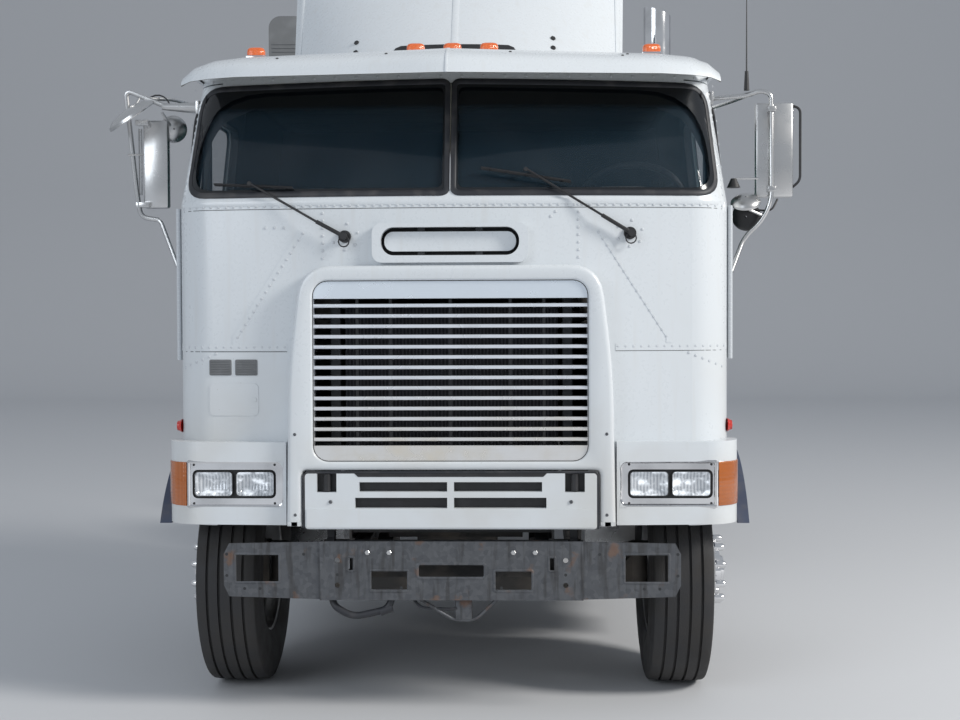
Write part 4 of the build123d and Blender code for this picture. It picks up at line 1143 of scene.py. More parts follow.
def mirrors():
    """Each door's arms, main mirror and round mirrors; the left door's set carries the whip antenna."""
    metals = [STAINLESS, SILVER, BLACK_TRIM]
    y = MIRROR_Y
    bm = bmesh.new()
    mirror_head(bm, (1.332, FRONT + 0.44, 2.207), (1.498, FRONT + 0.49, 2.623))
    post = [on_side(FRONT + 0.46, 2.645)[0], (1.29, y, 2.652), (1.35, y - 0.015, 2.672),
            (1.394, y - 0.02, 2.655),
            (1.397, y - 0.02, 2.19), (1.355, y - 0.01, 2.10), (1.28, y, 2.03), (1.214, FRONT + 0.37, 1.875)]
    bent(bm, post, 0.045, 0.0105, 12)
    bent(bm, [on_side(FRONT + 0.62, 2.62)[0], (1.24, y + 0.08, 2.64), (1.30, y, 2.655)], 0.04, 0.009)
    loop = [(1.485, y + 0.035, 2.615), (1.531, y + 0.03, 2.60), (1.531, y + 0.03, 2.28),
            (1.488, y + 0.035, 2.245)]
    bent(bm, loop, 0.035, 0.006, finish=2)
    stay = [(1.43, y + 0.02, 2.20), (1.40, y, 2.145), (1.34, y, 2.15), (1.27, y, 2.155)]
    bent(bm, stay, 0.03, 0.0045, 8, finish=2)
    for z in (2.24, 2.59):
        block(bm, (1.380, y - 0.034, z - 0.012), (1.414, y + 0.018, z + 0.012), 0.003)
    block(bm, (1.180, FRONT + 0.345, 1.84), (1.218, FRONT + 0.395, 1.89), 0.004)
    mirror_feet(bm, 1, ((0.46, 2.645), (0.62, 2.655)), 0.03)
    round_mirror(bm, (1.282, y - 0.03, 2.18), (0.1, 0.5, -0.8), 0.066)
    round_mirror(bm, (1.296, y + 0.04, 2.125), (0.25, 1, 0.1), 0.064, finish=2)
    bar(bm, (1.30, y - 0.02, 2.15), (1.36, y - 0.01, 2.125), 0.006, 8)
    bar(bm, (1.235, y + 0.01, 2.25), (1.235, y + 0.01, 2.29), 0.03, 20, 0.012, finish=2)
    bar(bm, (1.235, y + 0.01, 2.29), (1.345, y + 0.01, 2.29), 0.005, 8)
    bar(bm, (1.29, y, 2.675), (1.29, y, 2.76), 0.012, 14, 0.008, finish=2)
    bar(bm, (1.29, y, 2.76), (1.29, y, 3.118), 0.0035, 8, 0.0018, finish=2)
    piece("mirror_set_left", bm, metals, "door_left", replaces=("mirrors_left",))
    bm = bmesh.new()
    mirror_head(bm, (-1.391, FRONT + 0.44, 2.175), (-1.278, FRONT + 0.49, 2.568))
    loop = [(-1.28, y, 2.625), (-1.462, y, 2.70), (-1.452, y, 2.60), (-1.418, y, 2.26), (-1.40, y, 2.135),
            (-1.32, y, 2.122)]
    bent(bm, loop, 0.035, 0.011)
    tube(bm, [(-1.404, y + 0.02, 2.53), (-1.404, y + 0.02, 2.235)], 0.0085, 10)
    tube(bm, [(-1.45, y - 0.02, 2.41), (-1.38, y + 0.02, 2.415)], 0.004, 6)
    hoop = [(-1.325 + 0.055 * cos(a), y + 0.02, 2.625 + 0.055 * sin(a))
            for a in map(radians, range(0, 181, 20))]
    tube(bm, hoop, 0.0035, 6, finish=2)
    bar(bm, on_side(FRONT + 0.45, 2.62, -1)[0], (-1.30, y, 2.625), 0.026, 16, 0.014)
    bent(bm, [on_side(FRONT + 0.66, 2.64, -1)[0], (-1.27, y + 0.08, 2.67), (-1.36, y, 2.66)], 0.04, 0.0085)
    bent(bm, [(-1.36, y, 2.128), (-1.313, y, 2.121), (-1.214, FRONT + 0.37, 1.89)], 0.05, 0.0095)
    block(bm, (-1.218, FRONT + 0.345, 1.855), (-1.180, FRONT + 0.395, 1.905), 0.004)
    mirror_feet(bm, -1, ((0.45, 2.62), (0.66, 2.64)), 0.035)
    round_mirror(bm, (-1.42, y - 0.05, 2.575), (0.52, 0.28, -0.8), 0.118, 0.04)
    round_mirror(bm, (-1.268, y + 0.07, 2.535), (-0.35, 1, 0.1), 0.062)
    bar(bm, (-1.42, y - 0.05, 2.60), (-1.40, y, 2.665), 0.006, 8)
    bar(bm, (-1.268, y + 0.05, 2.535), (-1.30, y, 2.60), 0.006, 8)
    for z in (2.19, 2.555):
        block(bm, (-1.42, y - 0.010, z - 0.012), (-1.36, y + 0.024, z + 0.012), 0.003)
    piece("mirror_set_right", bm, metals, "door_right", replaces=("mirrors_right",))


# Reading places off the solids, each node's search tree kept once made

TREES = {}


def hit(node, origin, way):
    """Where a ray meets a node's solid: the point and the way out of it."""
    if node not in TREES:
        mesh, world = NODES[node].data, NODES[node].matrix_world
        faces = [tuple(f.vertices) for f in mesh.polygons]
        TREES[node] = BVHTree.FromPolygons([world @ v.co for v in mesh.vertices], faces)
    place, out, _, _ = TREES[node].ray_cast(Vector(origin), Vector(way).normalized())
    if place is None:
        raise ValueError(f"no surface of {node} there")
    return place, (out if out.dot(Vector(way)) < 0 else -out).normalized()


def from_ahead(node, x, z):
    return hit(node, (x, FRONT - 1.0, z), (0, 1, 0))


def plate_on(bm, places, thick):
    """A thin sheet over an outline of (point, way out) places, its edge going down to the surface."""
    top = [bm.verts.new(p + out * thick) for p, out in places]
    foot = [bm.verts.new(p - out * 0.002) for p, out in places]
    face = bm.faces.new(top)
    joined(bm, [top, foot])
    bmesh.ops.triangulate(bm, faces=[face])


def rounded_box_outline(x0, x1, z0, z1, r, steps=4):
    corners = [(x1 - r, z1 - r, 0), (x0 + r, z1 - r, 90), (x0 + r, z0 + r, 180), (x1 - r, z0 + r, 270)]
    turns = [(cx, cz, radians(a + 90 * k / steps)) for cx, cz, a in corners for k in range(steps + 1)]
    return [(cx + r * cos(a), cz + r * sin(a)) for cx, cz, a in turns]


# Sheet-metal seams and rivets of the cab

SEAM_Z = 1.544
RIVET_PITCH = 0.033
HINGE_X, HINGE_Y = 1.2, FRONT + 0.3
# front, rear, sill and head of a door's window
DOOR_WINDOW = (0.40, 1.10, 1.98, 2.60)


def front_rivets():
    """Rivets and lapped sheets of the cab's front, with painted shadow lines under the laps and under the
    windscreen's sill.
    """
    rows = []
    laps, lines = bmesh.new(), bmesh.new()
    # painted shadow: a thin black line under each lap and under the sill
    line = flat_section(-0.0012, 0.0012, 0.0006, -0.001)
    for side in (-1, 1):
        rows += [[(side * 0.70, SEAM_Z + 0.014), (side * 1.16, SEAM_Z + 0.014)],
                 [(side * 0.905, 1.60), (side * 0.62, 2.035)],
                 [(side * 0.535, 1.93), (side * 0.535, 2.15)],
                 [(side * 1.155, 2.20), (side * 1.125, 2.66)],
                 [(side * 0.02, 2.150), (side * 1.15, 2.150)],
                 [(side * 1.0, 1.53), (side * 1.15, 1.47)]]
        strip(laps, front_line([(side * 0.69, SEAM_Z + 0.012), (side * 1.175, SEAM_Z + 0.012)]),
              flat_section(-0.014, 0.016, 0.0016))
        strip(laps, front_line([(side * 0.915, SEAM_Z + 0.028), (side * 0.915, 1.60),
                                (side * 0.625, 2.045)]),
              flat_section(-0.012, 0.012, 0.0014))
        strip(lines, front_line([(side * 0.69, SEAM_Z - 0.005), (side * 1.175, SEAM_Z - 0.005)]), line)
    strip(lines, front_line([(-1.15, 2.138), (1.15, 2.138)]), line)
    spots = [spot for row in rows for spot in along(row, RIVET_PITCH)]
    spots += along([(-1.05, 2.715), (1.05, 2.715)], 0.09)
    for (x, z), *_ in WIPERS:
        spots += [(x + 0.055 * cos(a), z + 0.055 * sin(a)) for a in (0.3, 1.4, 2.6, 3.6, 4.7, 5.6)]
    spots += [(-0.78, 2.06), (-0.74, 2.06), (-0.70, 2.06), (0.42, 2.10), (0.44, 2.12)]
    places = [on_front(x, z, -SUNK) for x, z in spots]
    scattered("front_rivets", dome(0.0072, 0.0038), places, RIVET, "cab")
    piece("front_lap_strips", laps, PAINT, "cab", smooth=False)
    piece("front_joint_lines", lines, PAINTED_SHADE_BLACK, "cab", smooth=False)


def side_line(points, side, pitch=0.1, off=0.0):
    return [on_side(FRONT + d, z, side, off) for d, z in along(points, pitch)]


def side_sheets():
    """Seams, rivets, rain gutter and battens of the cab's flanks, and the rivets of its back."""
    bm = bmesh.new()
    places, back = [], []
    lap = flat_section(-0.014, 0.014, 0.0015)
    gutter = [(-0.004, -0.002), (-0.006, 0.016), (0.004, 0.020), (0.008, 0.014), (0.006, -0.002)]
    for side in (-1, 1):
        for seam in ([(1.30, 1.12), (1.30, 2.72)], [(1.21, SEAM_Z), (2.27, SEAM_Z)],
                     [(2.25, 1.12), (2.25, 2.72)]):
            strip(bm, side_line(seam, side), lap)
        strip(bm, side_line([(0.31, 2.735), (1.24, 2.735)], side, 0.3), gutter)
        for d, z0, z1 in ((1.292, 1.14, 2.7), (1.308, 1.14, 2.7), (2.25, 1.14, 2.7)):
            places += side_line([(d, z0), (d, z1)], side, 0.045, 0.0012)
        for z in (SEAM_Z, 2.16, 2.70, 1.13):
            places += side_line([(1.33, z), (2.24, z)], side, 0.045, 0.0012)
    piece("flank_seams", bm, PAINT, "cab", smooth=False)
    scattered("flank_rivets", small_dome(), places, RIVET, "cab")
    for row in ([(-1.1, 1.14), (1.1, 1.14)], [(-1.1, 1.9), (1.1, 1.9)], [(-1.08, 2.68), (1.08, 2.68)],
                [(-0.6, 1.2), (-0.6, 2.65)], [(0, 1.2), (0, 2.65)], [(0.6, 1.2), (0.6, 2.65)]):
        back += [(Vector((x, FRONT + CAB_REAR - SUNK, z)), Vector((0, 1, 0))) for x, z in along(row, 0.06)]
    scattered("back_rivets", small_dome(), back, RIVET, "cab")


def door_trim():
    """Hinge knuckles, glass gaskets, latch handle and grab rails."""
    for side, name in SIDES:
        hinge, seal, latch, rail = (bmesh.new() for _ in range(4))
        for k in range(33):
            foot = Vector((side * HINGE_X, HINGE_Y, 1.502 + k * 0.02))
            bar(hinge, foot, foot + Vector((0, 0, 0.0175)), 0.0098, 10)
        piece(f"hinge_knuckles_{name}", hinge, RIVET, f"door_{name}")
        ring = rounded_box_outline(*DOOR_WINDOW, 0.07)
        strip(seal, side_line(ring + ring[:1], side, 0.06)[:-1], bead_section(0.026, 0.006), closed=True)
        block(seal, (side * 1.128, FRONT + 0.646, 1.985), (side * 1.172, FRONT + 0.662, 2.595), 0.003)
        piece(f"door_gaskets_{name}", seal, RUBBER, f"door_{name}")
        block(latch, (side * 1.183, FRONT + 1.045, 1.625), (side * 1.188, FRONT + 1.175, 1.685), 0.002)
        grip = [(side * x, FRONT + d, 1.655)
                for x, d in ((1.186, 1.065), (1.214, 1.07), (1.214, 1.15), (1.186, 1.155))]
        bent(latch, grip, 0.02, 0.0075)
        bar(latch, (side * 1.186, FRONT + 1.11, 1.70), (side * 1.194, FRONT + 1.11, 1.70), 0.011, 16)
        piece(f"door_latch_{name}", latch, CHROME, f"door_{name}")
        foot, top = (on_side(FRONT + 1.255, z, side)[0] for z in (1.25, 2.15))
        out = Vector((side * 0.055, 0, 0))
        bent(rail, [foot, foot + out, top + out, top], 0.03, 0.0125, 12)
        for end in (foot, top):
            bar(rail, end - out * 0.02, end + out * 0.12, 0.026, 16)
        piece(f"grab_rail_{name}", rail, STAINLESS, "cab")
        rivets = []
        for row in ([(0.322, 1.215), (1.188, 1.215)], [(0.345, 1.23), (0.345, 2.68)],
                    [(1.188, 1.215), (1.188, 2.68)],
                    [(0.36, SEAM_Z), (1.18, SEAM_Z)]):
            rivets += side_line(row, side, 0.05, -SUNK)
        scattered(f"door_rivets_{name}", small_dome(), rivets, RIVET, f"door_{name}")


def front_fittings():
    """Vents and hatch on the right front panel, side markers, the valance's recess and openings as black
    sheets and blocks of painted shade, seal and tow pins.
    """
    vents, hatch, markers, shades_and_pins, seal = (bmesh.new() for _ in range(5))
    for x0, x1 in ((-1.028, -0.932), (-0.915, -0.819)):
        plate_on(vents, [on_front(x, z) for x, z in rounded_box_outline(x0, x1, 1.439, 1.506, 0.006)],
                 0.003)
        for k in range(6):
            z = 1.447 + k * 0.0105
            strip(vents, front_line([(x0 + 0.006, z), (x1 - 0.006, z)], off=0.002),
                  bead_section(0.005, 0.004))
    piece("front_vents", vents, GREY_TRIM, "cab")
    plate_on(hatch, [on_front(x, z) for x, z in rounded_box_outline(-1.028, -0.8146, 1.268, 1.406, 0.022)],
             0.0025)
    latch, out = on_front(-0.83, 1.337)
    bar(hatch, latch, latch + out * 0.006, 0.008, 14)
    piece("front_hatch", hatch, PAINT, "cab")
    slit = ((-0.40, 1.0335), (-0.385, 1.019), (0.385, 1.019), (0.40, 1.0335))
    # painted shade: a thin black sheet over the valance's recess
    plate_on(shades_and_pins, [ahead(x, z) for x, z in slit], 0.0012)
    for side in (-1, 1):
        at, out = on_side(FRONT + 0.262, 1.215, side)
        for r, rise in ((0.03, 0.006), (0.026, 0.016)):
            bar(markers, at - out * 0.004, at + out * rise, r, 20, r * 0.8)
        # painted shade: black blocks behind the valance's openings and the tow pins' pockets
        for x1, z0, z1 in ((0.38, 0.953, 1.001), (0.398, 0.884, 0.936)):
            block(shades_and_pins, (side * 0.014, FRONT + 0.031, z0), (side * x1, FRONT + 0.036, z1))
        x = side * 0.516
        block(shades_and_pins, (x - 0.055, FRONT + 0.034, 0.945), (x + 0.055, FRONT + 0.042, 1.045))
        bar(shades_and_pins, (x, FRONT + 0.016, 0.96), (x, FRONT + 0.016, 1.03), 0.016, 16)
    piece("side_markers", markers, RED, "cab")
    piece("valance_darks", shades_and_pins, BLACK_TRIM, "cab")
    edge = [(-0.6125, 0.803), (-0.6125, 1.025), (-0.60, 1.0375), (0.60, 1.0375), (0.6125, 1.025),
            (0.6125, 0.803)]
    strip(seal, [ahead(x, z, 0.004) for x, z in edge], bead_section(0.010, 0.003))
    piece("valance_seal", seal, RUBBER, "cab")
    places = [ahead(x, 0.915, -SUNK) for x in (-0.50, 0.50)]
    scattered("valance_bolts", hexagon(0.008, 0.005), places, SHADED_ZINC, "cab", smooth=False)


# half-width, then (behind the front, height) of the visor's lip, bend, brow and root
VISOR = ((0.0, (-0.208, 2.655), (-0.178, 2.735), (-0.02, 2.792), (0.30, 2.824)),
         (0.87, (-0.043, 2.671), (-0.018, 2.738), (0.14, 2.788), (0.32, 2.817)),
         (1.0, (0.000, 2.671), (0.020, 2.728), (0.14, 2.774), (0.325, 2.803)),
         (1.08, (0.032, 2.666), (0.046, 2.704), (0.13, 2.745), (0.328, 2.776)),
         (1.125, (0.060, 2.654), (0.064, 2.670), (0.12, 2.704), (0.33, 2.744)))


def visor_curve(x):
    """The visor's outer face at a half-width, from the lip to the root, its corners cut three times."""
    after = next(k for k in range(1, len(VISOR)) if x <= VISOR[k][0])
    a, b = VISOR[after - 1], VISOR[after]
    t = (x - a[0]) / (b[0] - a[0])
    points = [Vector(p).lerp(Vector(q), t) for p, q in zip(a[1:], b[1:])]
    for _ in range(3):
        inner = [point for p, q in zip(points, points[1:]) for point in (p.lerp(q, 0.25), p.lerp(q, 0.75))]
        points = [points[0], *inner[1:-1], points[-1]]
    return points


def on_visor(x, k):
    """The k-th point of the visor's curve at x and the way out of it."""
    line = visor_curve(abs(x))
    run = line[min(k + 1, len(line) - 1)] - line[max(k - 1, 0)]
    return Vector((x, FRONT + line[k].x, line[k].y)), Vector((0, -run.y, run.x)).normalized()


def visor_sheet():
    """The visor's sheet with its seam and screws, white above, and below a dark buff of painted shade warmed
    by painted ground bounce.
    """
    bm = bmesh.new()
    half = [0.003, 0.15, 0.30, 0.45, 0.60, 0.75, 0.87, 0.92, 0.96, 1.0, 1.03, 1.06, 1.08, 1.10, 1.115,
            1.125]
    count = len(visor_curve(0.5))
    columns = []
    for x in [-v for v in reversed(half)] + half:
        places = [on_visor(x, k)[0] for k in range(count)]
        outer = [bm.verts.new(p) for p in places]
        inner = [bm.verts.new(p + Vector((0, 0.008, -0.010))) for p in places]
        inner[0].co.z = outer[0].co.z
        columns.append(outer + inner[::-1])
    for a, b in zip(columns, columns[1:]):
        for k in range(2 * count):
            face = bm.faces.new((a[k - 1], a[k], b[k], b[k - 1]))
            # the underside faces take the painted shade
            face.material_index = 1 if k > count or k == 0 else 0
    for ring in (columns[0], columns[-1]):
        bm.faces.new(ring)
    piece("visor_sheet", bm, [PAINT, VISOR_UNDER_SHADE], "cab", replaces=("visor",))
    bm = bmesh.new()
    strip(bm, [on_visor(0.0, k) for k in range(count)], bead_section(0.012, 0.002))
    piece("visor_seam", bm, PAINT, "cab")
    places = []
    for x, height in ((-0.71, 2.752), (-0.25, 2.756), (0.254, 2.760), (0.738, 2.768), (0.715, 2.752)):
        line = visor_curve(abs(x))
        places.append(on_visor(x, min(range(count), key=lambda k: abs(line[k].y - height))))
    scattered("visor_screws", dome(0.007, 0.004), places, BLACK_TRIM, "cab")


def roof_details():
    """The deflector's slot as a black sheet of painted shade, its seams and bolts, and the roof's rivets."""
    slot, seams = bmesh.new(), bmesh.new()
    # painted shade: a black sheet on the deflector's face where its cut-out shows the dark gap beneath
    columns = 24
    top, foot = [], []
    for k in range(columns + 1):
        x = -0.29 + 0.58 * k / columns
        rise = 2.905 - 0.05 * max(0.0, (abs(x) - 0.245) / 0.045) ** 2
        for row, z in ((top, rise), (foot, 2.824)):
            p, out = from_ahead("roof_deflector", x, z)
            row.append(slot.verts.new(p + out * 0.0025))
    joined(slot, [foot, top], closed=False)
    piece("deflector_slot", slot, BLACK_TRIM, "cab")
    # columns: foot's x, how much it leans out and rises at each of 15 steps, height of the bead
    for x, dx, z, dz, height in ((0.0, 0.0, 2.91, 0.04, 0.003), (-0.752, -0.0015, 2.83, 0.045, 0.006),
                                 (0.752, 0.0015, 2.83, 0.045, 0.006)):
        edge = [from_ahead("roof_deflector", x + dx * k, z + dz * k) for k in range(15)]
        strip(seams, edge, bead_section(0.03, height))
    piece("deflector_seams", seams, PAINT, "cab")
    spots = ((-0.455, 2.892), (-0.455, 2.944), (0.445, 2.906), (0.445, 2.957))
    places = [from_ahead("roof_deflector", x, z) for x, z in spots]
    scattered("deflector_bolts", hexagon(0.012, 0.008), places, BLACK_TRIM, "cab",
              smooth=False)
    rivets = [(Vector((side * x, FRONT + d, ROOF)), Vector((0, 0, 1))) for side in (-1, 1)
              for row in ([(1.02, 0.5), (1.02, 2.25)], [(0.9, 1.9), (0.0, 1.9)])
              for x, d in along(row, 0.08)]
    scattered("roof_rivets", small_dome(), rivets, RIVET, "cab")


# Grille with its louvres

def filled(bm, outer, inners, to_point, finish=0):
    """A flat or bent sheet inside an outline, less its openings; to_point turns (u, v) into a place."""
    loops = []
    for ring in [outer, *inners]:
        verts = [bm.verts.new((u, v, 0)) for u, v in ring]
        loops.append([bm.edges.new((verts[k - 1], verts[k])) for k in range(len(verts))])
    edges = [e for loop in loops for e in loop]
    made = bmesh.ops.triangle_fill(bm, use_beauty=True, edges=edges)["geom"]
    faces = [g for g in made if isinstance(g, bmesh.types.BMFace)]
    for v in {v for f in faces for v in f.verts}:
        v.co = to_point(v.co.x, v.co.y)
    for f in faces:
        f.material_index = finish
    return faces


GRILLE_HALF, GRILLE_LOW, GRILLE_HIGH = 0.573, 1.082, 1.835
LOUVRES, LOUVRE_LOW, LOUVRE_PITCH = 14, 1.174, 0.0428


def grille():
    """The bright frame, its louvres, the dark stays behind them and the line round them."""
    bm = bmesh.new()
    outline = rounded_box_outline(-GRILLE_HALF, GRILLE_HALF, GRILLE_LOW, GRILLE_HIGH, 0.064, 6)
    window = [(-0.569, 1.148), (0.569, 1.148), (0.569, 1.76), (-0.569, 1.76)]
    near, far = 0.0125, 0.029
    for d in (near, far):
        filled(bm, outline, [window], lambda u, v: Vector((u, FRONT + d, v)))
    for ring in (outline, window):
        wall(bm, ring, FRONT + near, FRONT + far)
    # columns: behind the front, above the louvre's middle
    section = [(0.012, -0.003), (0.012, 0.003), (0.0135, 0.0062), (0.017, 0.0077), (0.024, 0.0077),
               (0.042, -0.0015),
               (0.042, -0.0077), (0.024, -0.0077), (0.017, -0.0077), (0.0135, -0.0062)]
    for n in range(LOUVRES):
        z = LOUVRE_LOW + LOUVRE_PITCH * n
        ends = [[bm.verts.new((x, FRONT + d, z + v)) for d, v in section] for x in (-0.571, 0.571)]
        joined(bm, ends)
        for ring in ends:
            bm.faces.new(ring)
    for x in (-0.39, -0.25, 0.0, 0.25, 0.39):
        block(bm, (x - 0.006, FRONT + 0.0425, 1.10), (x + 0.006, FRONT + 0.046, 1.80), finish=1)
    strip(bm, [ahead(u, v, near) for u, v in outline], bead_section(0.006, 0.003), closed=True, finish=1)
    piece("grille_louvres", bm, [GRILLE_METAL, BLACK_TRIM], "cab", replaces=("grille",))


def rolled(bm, loop, rows, way):
    """Folds a sheet's edge: rings of (inset, depth) along a closed outline. A depth of None lies on the skin.

    Returns the last ring's outline.
    """
    count = len(loop)
    rings, flat = [], []
    for inset, y in rows:
        flat = []
        for k, (x, z) in enumerate(loop):
            run = Vector(loop[(k + 1) % count]) - Vector(loop[k - 1])
            flat.append((x - way * inset * run.y / run.length, z + way * inset * run.x / run.length))
        rings.append([bm.verts.new((u, skin_y(u, v) + 0.003 if y is None else FRONT + y, v))
                      for u, v in flat])
    joined(bm, rings)
    return flat


def grille_frame():
    """The white surround, its edges rolled and its top corners wide."""
    bm = bmesh.new()
    half = [(0.685, 0.81, 0.004), (0.675, 1.46, 0.16), (0.622, 1.897, 0.13)]
    notch = [(-0.62, 0.81, 0.003), (-0.62, 1.045, 0.02), (0.62, 1.045, 0.02), (0.62, 0.81, 0.003)]
    points = half + [(-x, z, r) for x, z, r in reversed(half)] + notch
    outer = eased([(x, z) for x, z, _ in points], [r for _, _, r in points])
    hole = rounded_box_outline(-GRILLE_HALF, GRILLE_HALF, GRILLE_LOW, GRILLE_HIGH, 0.065, 8)
    face = rolled(bm, outer, [(0, None), (0, 0.018), (0.0015, 0.011), (0.006, 0.004), (0.013, 0.001),
                              (0.020, 0)], 1)
    mouth = rolled(bm, hole, [(0, 0.033), (0, 0.010), (0.001, 0.006), (0.004, 0.002), (0.009, 0)], -1)
    filled(bm, face, [mouth], lambda u, v: Vector((u, FRONT, v)))
    piece("grille_surround", bm, PAINT, "cab", replaces=("grille_frame",))
    places = [ahead(x, z, -SUNK) for x in (-0.648, 0.648) for z in (0.86, 1.196)]
    scattered("surround_screws", dome(0.007, 0.003), places, SHADED_ZINC, "cab")


def lining():
    """Headliner and each door's inner panel with its armrest and pull."""
    bm = bmesh.new()
    for k in range(5):
        y = FRONT + 0.48 + 0.36 * k
        block(bm, (-1.02, y, 2.752), (1.02, y + 0.35, 2.768), 0.008)
    piece("headliner", bm, LINING, "cab")
    for side, name in SIDES:
        bm = bmesh.new()
        panel = [(0.325, 1.215), (1.185, 1.215), (1.185, 2.66), (0.325, 2.66)]
        hole = rounded_box_outline(0.385, 1.115, 1.965, 2.615, 0.08)
        filled(bm, panel, [hole], lambda u, v: on_side(FRONT + u, v, side, -0.0525)[0])
        piece(f"door_lining_{name}", bm, LINING, f"door_{name}")
        bm = bmesh.new()
        x = side * 1.13
        block(bm, (x, FRONT + 0.50, 1.80), (x - side * 0.05, FRONT + 1.0, 1.84), 0.012)
        pull = [(x - side * u, FRONT + d, 1.70)
                for u, d in ((0, 0.6), (0.04, 0.62), (0.04, 0.78), (0, 0.8))]
        bent(bm, pull, 0.02, 0.01)
        piece(f"door_armrest_{name}", bm, INTERIOR, f"door_{name}")


# Seats, bunk and controls

SEAT_X = 0.795


def pad(name, centre, half, lean=0.0, crown=0.25, pull=0.05, seams=(), edge=5.0, finish=CLOTH):
    """A stuffed, crowned cushion, its sides drawn in between its corners, with sewn channels."""
    bm = bmesh.new()
    bmesh.ops.create_cube(bm, size=2.0)
    bmesh.ops.subdivide_edges(bm, edges=bm.edges[:], cuts=26, use_grid_fill=True)
    turn = Matrix.Translation(Vector(centre)) @ Matrix.Rotation(lean, 4, "X")
    for v in bm.verts:
        u = v.co.copy()
        norm = sum(abs(c) ** edge for c in u) ** (1 / edge)
        u *= max(abs(c) for c in u) / norm
        swell = 1 - crown * (u.x ** 2 + u.y ** 2) / 2
        w = Vector((u.x * (1 - pull * (1 - u.y ** 2)), u.y * (1 - pull * (1 - u.x ** 2)), u.z * swell))
        p = Vector((w.x * half[0], w.y * half[1], w.z * half[2]))
        for axis, at in seams:
            p.z -= 0.012 * max(0.0, u.z) * 2.7182 ** (-((p[axis] - at) / 0.007) ** 2)
        v.co = turn @ p
    made = piece(name, bm, finish, "cab")


def seating():
    """Two seats on their bellows, and the bunk with its mattress and pillow."""
    bases, frame = bmesh.new(), bmesh.new()
    for side in (-1, 1):
        x0, x1 = sorted((side * 0.60, side * 0.99))
        block(bases, (x0, FRONT + 0.68, 1.151), (x1, FRONT + 1.04, 1.19), 0.006)
        for k in range(6):
            inset, z = 0.012 if k % 2 else 0.0, 1.19 + 0.045 * k
            block(bases, (x0 + 0.03 + inset, FRONT + 0.71 + inset, z),
                  (x1 - 0.03 - inset, FRONT + 1.01 - inset, z + 0.045),
                  0.01)
        block(bases, (x0 - 0.02, FRONT + 0.66, 1.46), (x1 + 0.02, FRONT + 1.06, 1.52), 0.012)
        for x in (side * 0.565, side * 1.02):
            bent(bases, [(x, FRONT + 1.17, 1.80), (x, FRONT + 1.12, 1.83), (x, FRONT + 0.84, 1.83)], 0.03,
                 0.018)
        block(frame, (side * 0.53, FRONT + 1.60, 1.151), (side * 1.12, FRONT + 2.27, 1.664), 0.006)
        block(frame, (side * 0.57, FRONT + 1.592, 1.20), (side * 1.08, FRONT + 1.6, 1.62), 0.006)
    piece("seat_bases", bases, INTERIOR, "cab", replaces=("seats",))
    for side, name in ((1, "driver"), (-1, "passenger")):
        x = side * SEAT_X
        pad(f"{name}_cushion", (x, FRONT + 0.85, 1.60), (0.235, 0.228, 0.078), 0.06,
            seams=((0, -0.13), (0, 0.13)))
        pad(f"{name}_back", (x, FRONT + 1.175, 1.90), (0.225, 0.245, 0.062), 1.34,
            seams=((0, -0.12), (0, 0.12), (1, 0.0), (1, 0.12)))
        pad(f"{name}_headrest", (x, FRONT + 1.232, 2.245), (0.16, 0.092, 0.052), 1.36)
    block(frame, (-1.12, FRONT + 1.56, 1.664), (1.12, FRONT + 2.27, 1.722), 0.008)
    piece("bunk_frame", frame, INTERIOR, "cab", replaces=("bunk",))
    tufts = tuple((0, -0.9 + 0.2 * k) for k in range(10))
    pad("bunk_mattress", (0, FRONT + 1.915, 1.79), (1.105, 0.343, 0.069), crown=0.15, pull=0.01,
        seams=tufts,
        edge=9.0)
    pad("bunk_pillow", (-0.82, FRONT + 1.92, 1.905), (0.20, 0.27, 0.06), crown=0.9, pull=0.1, finish=PILLOW)


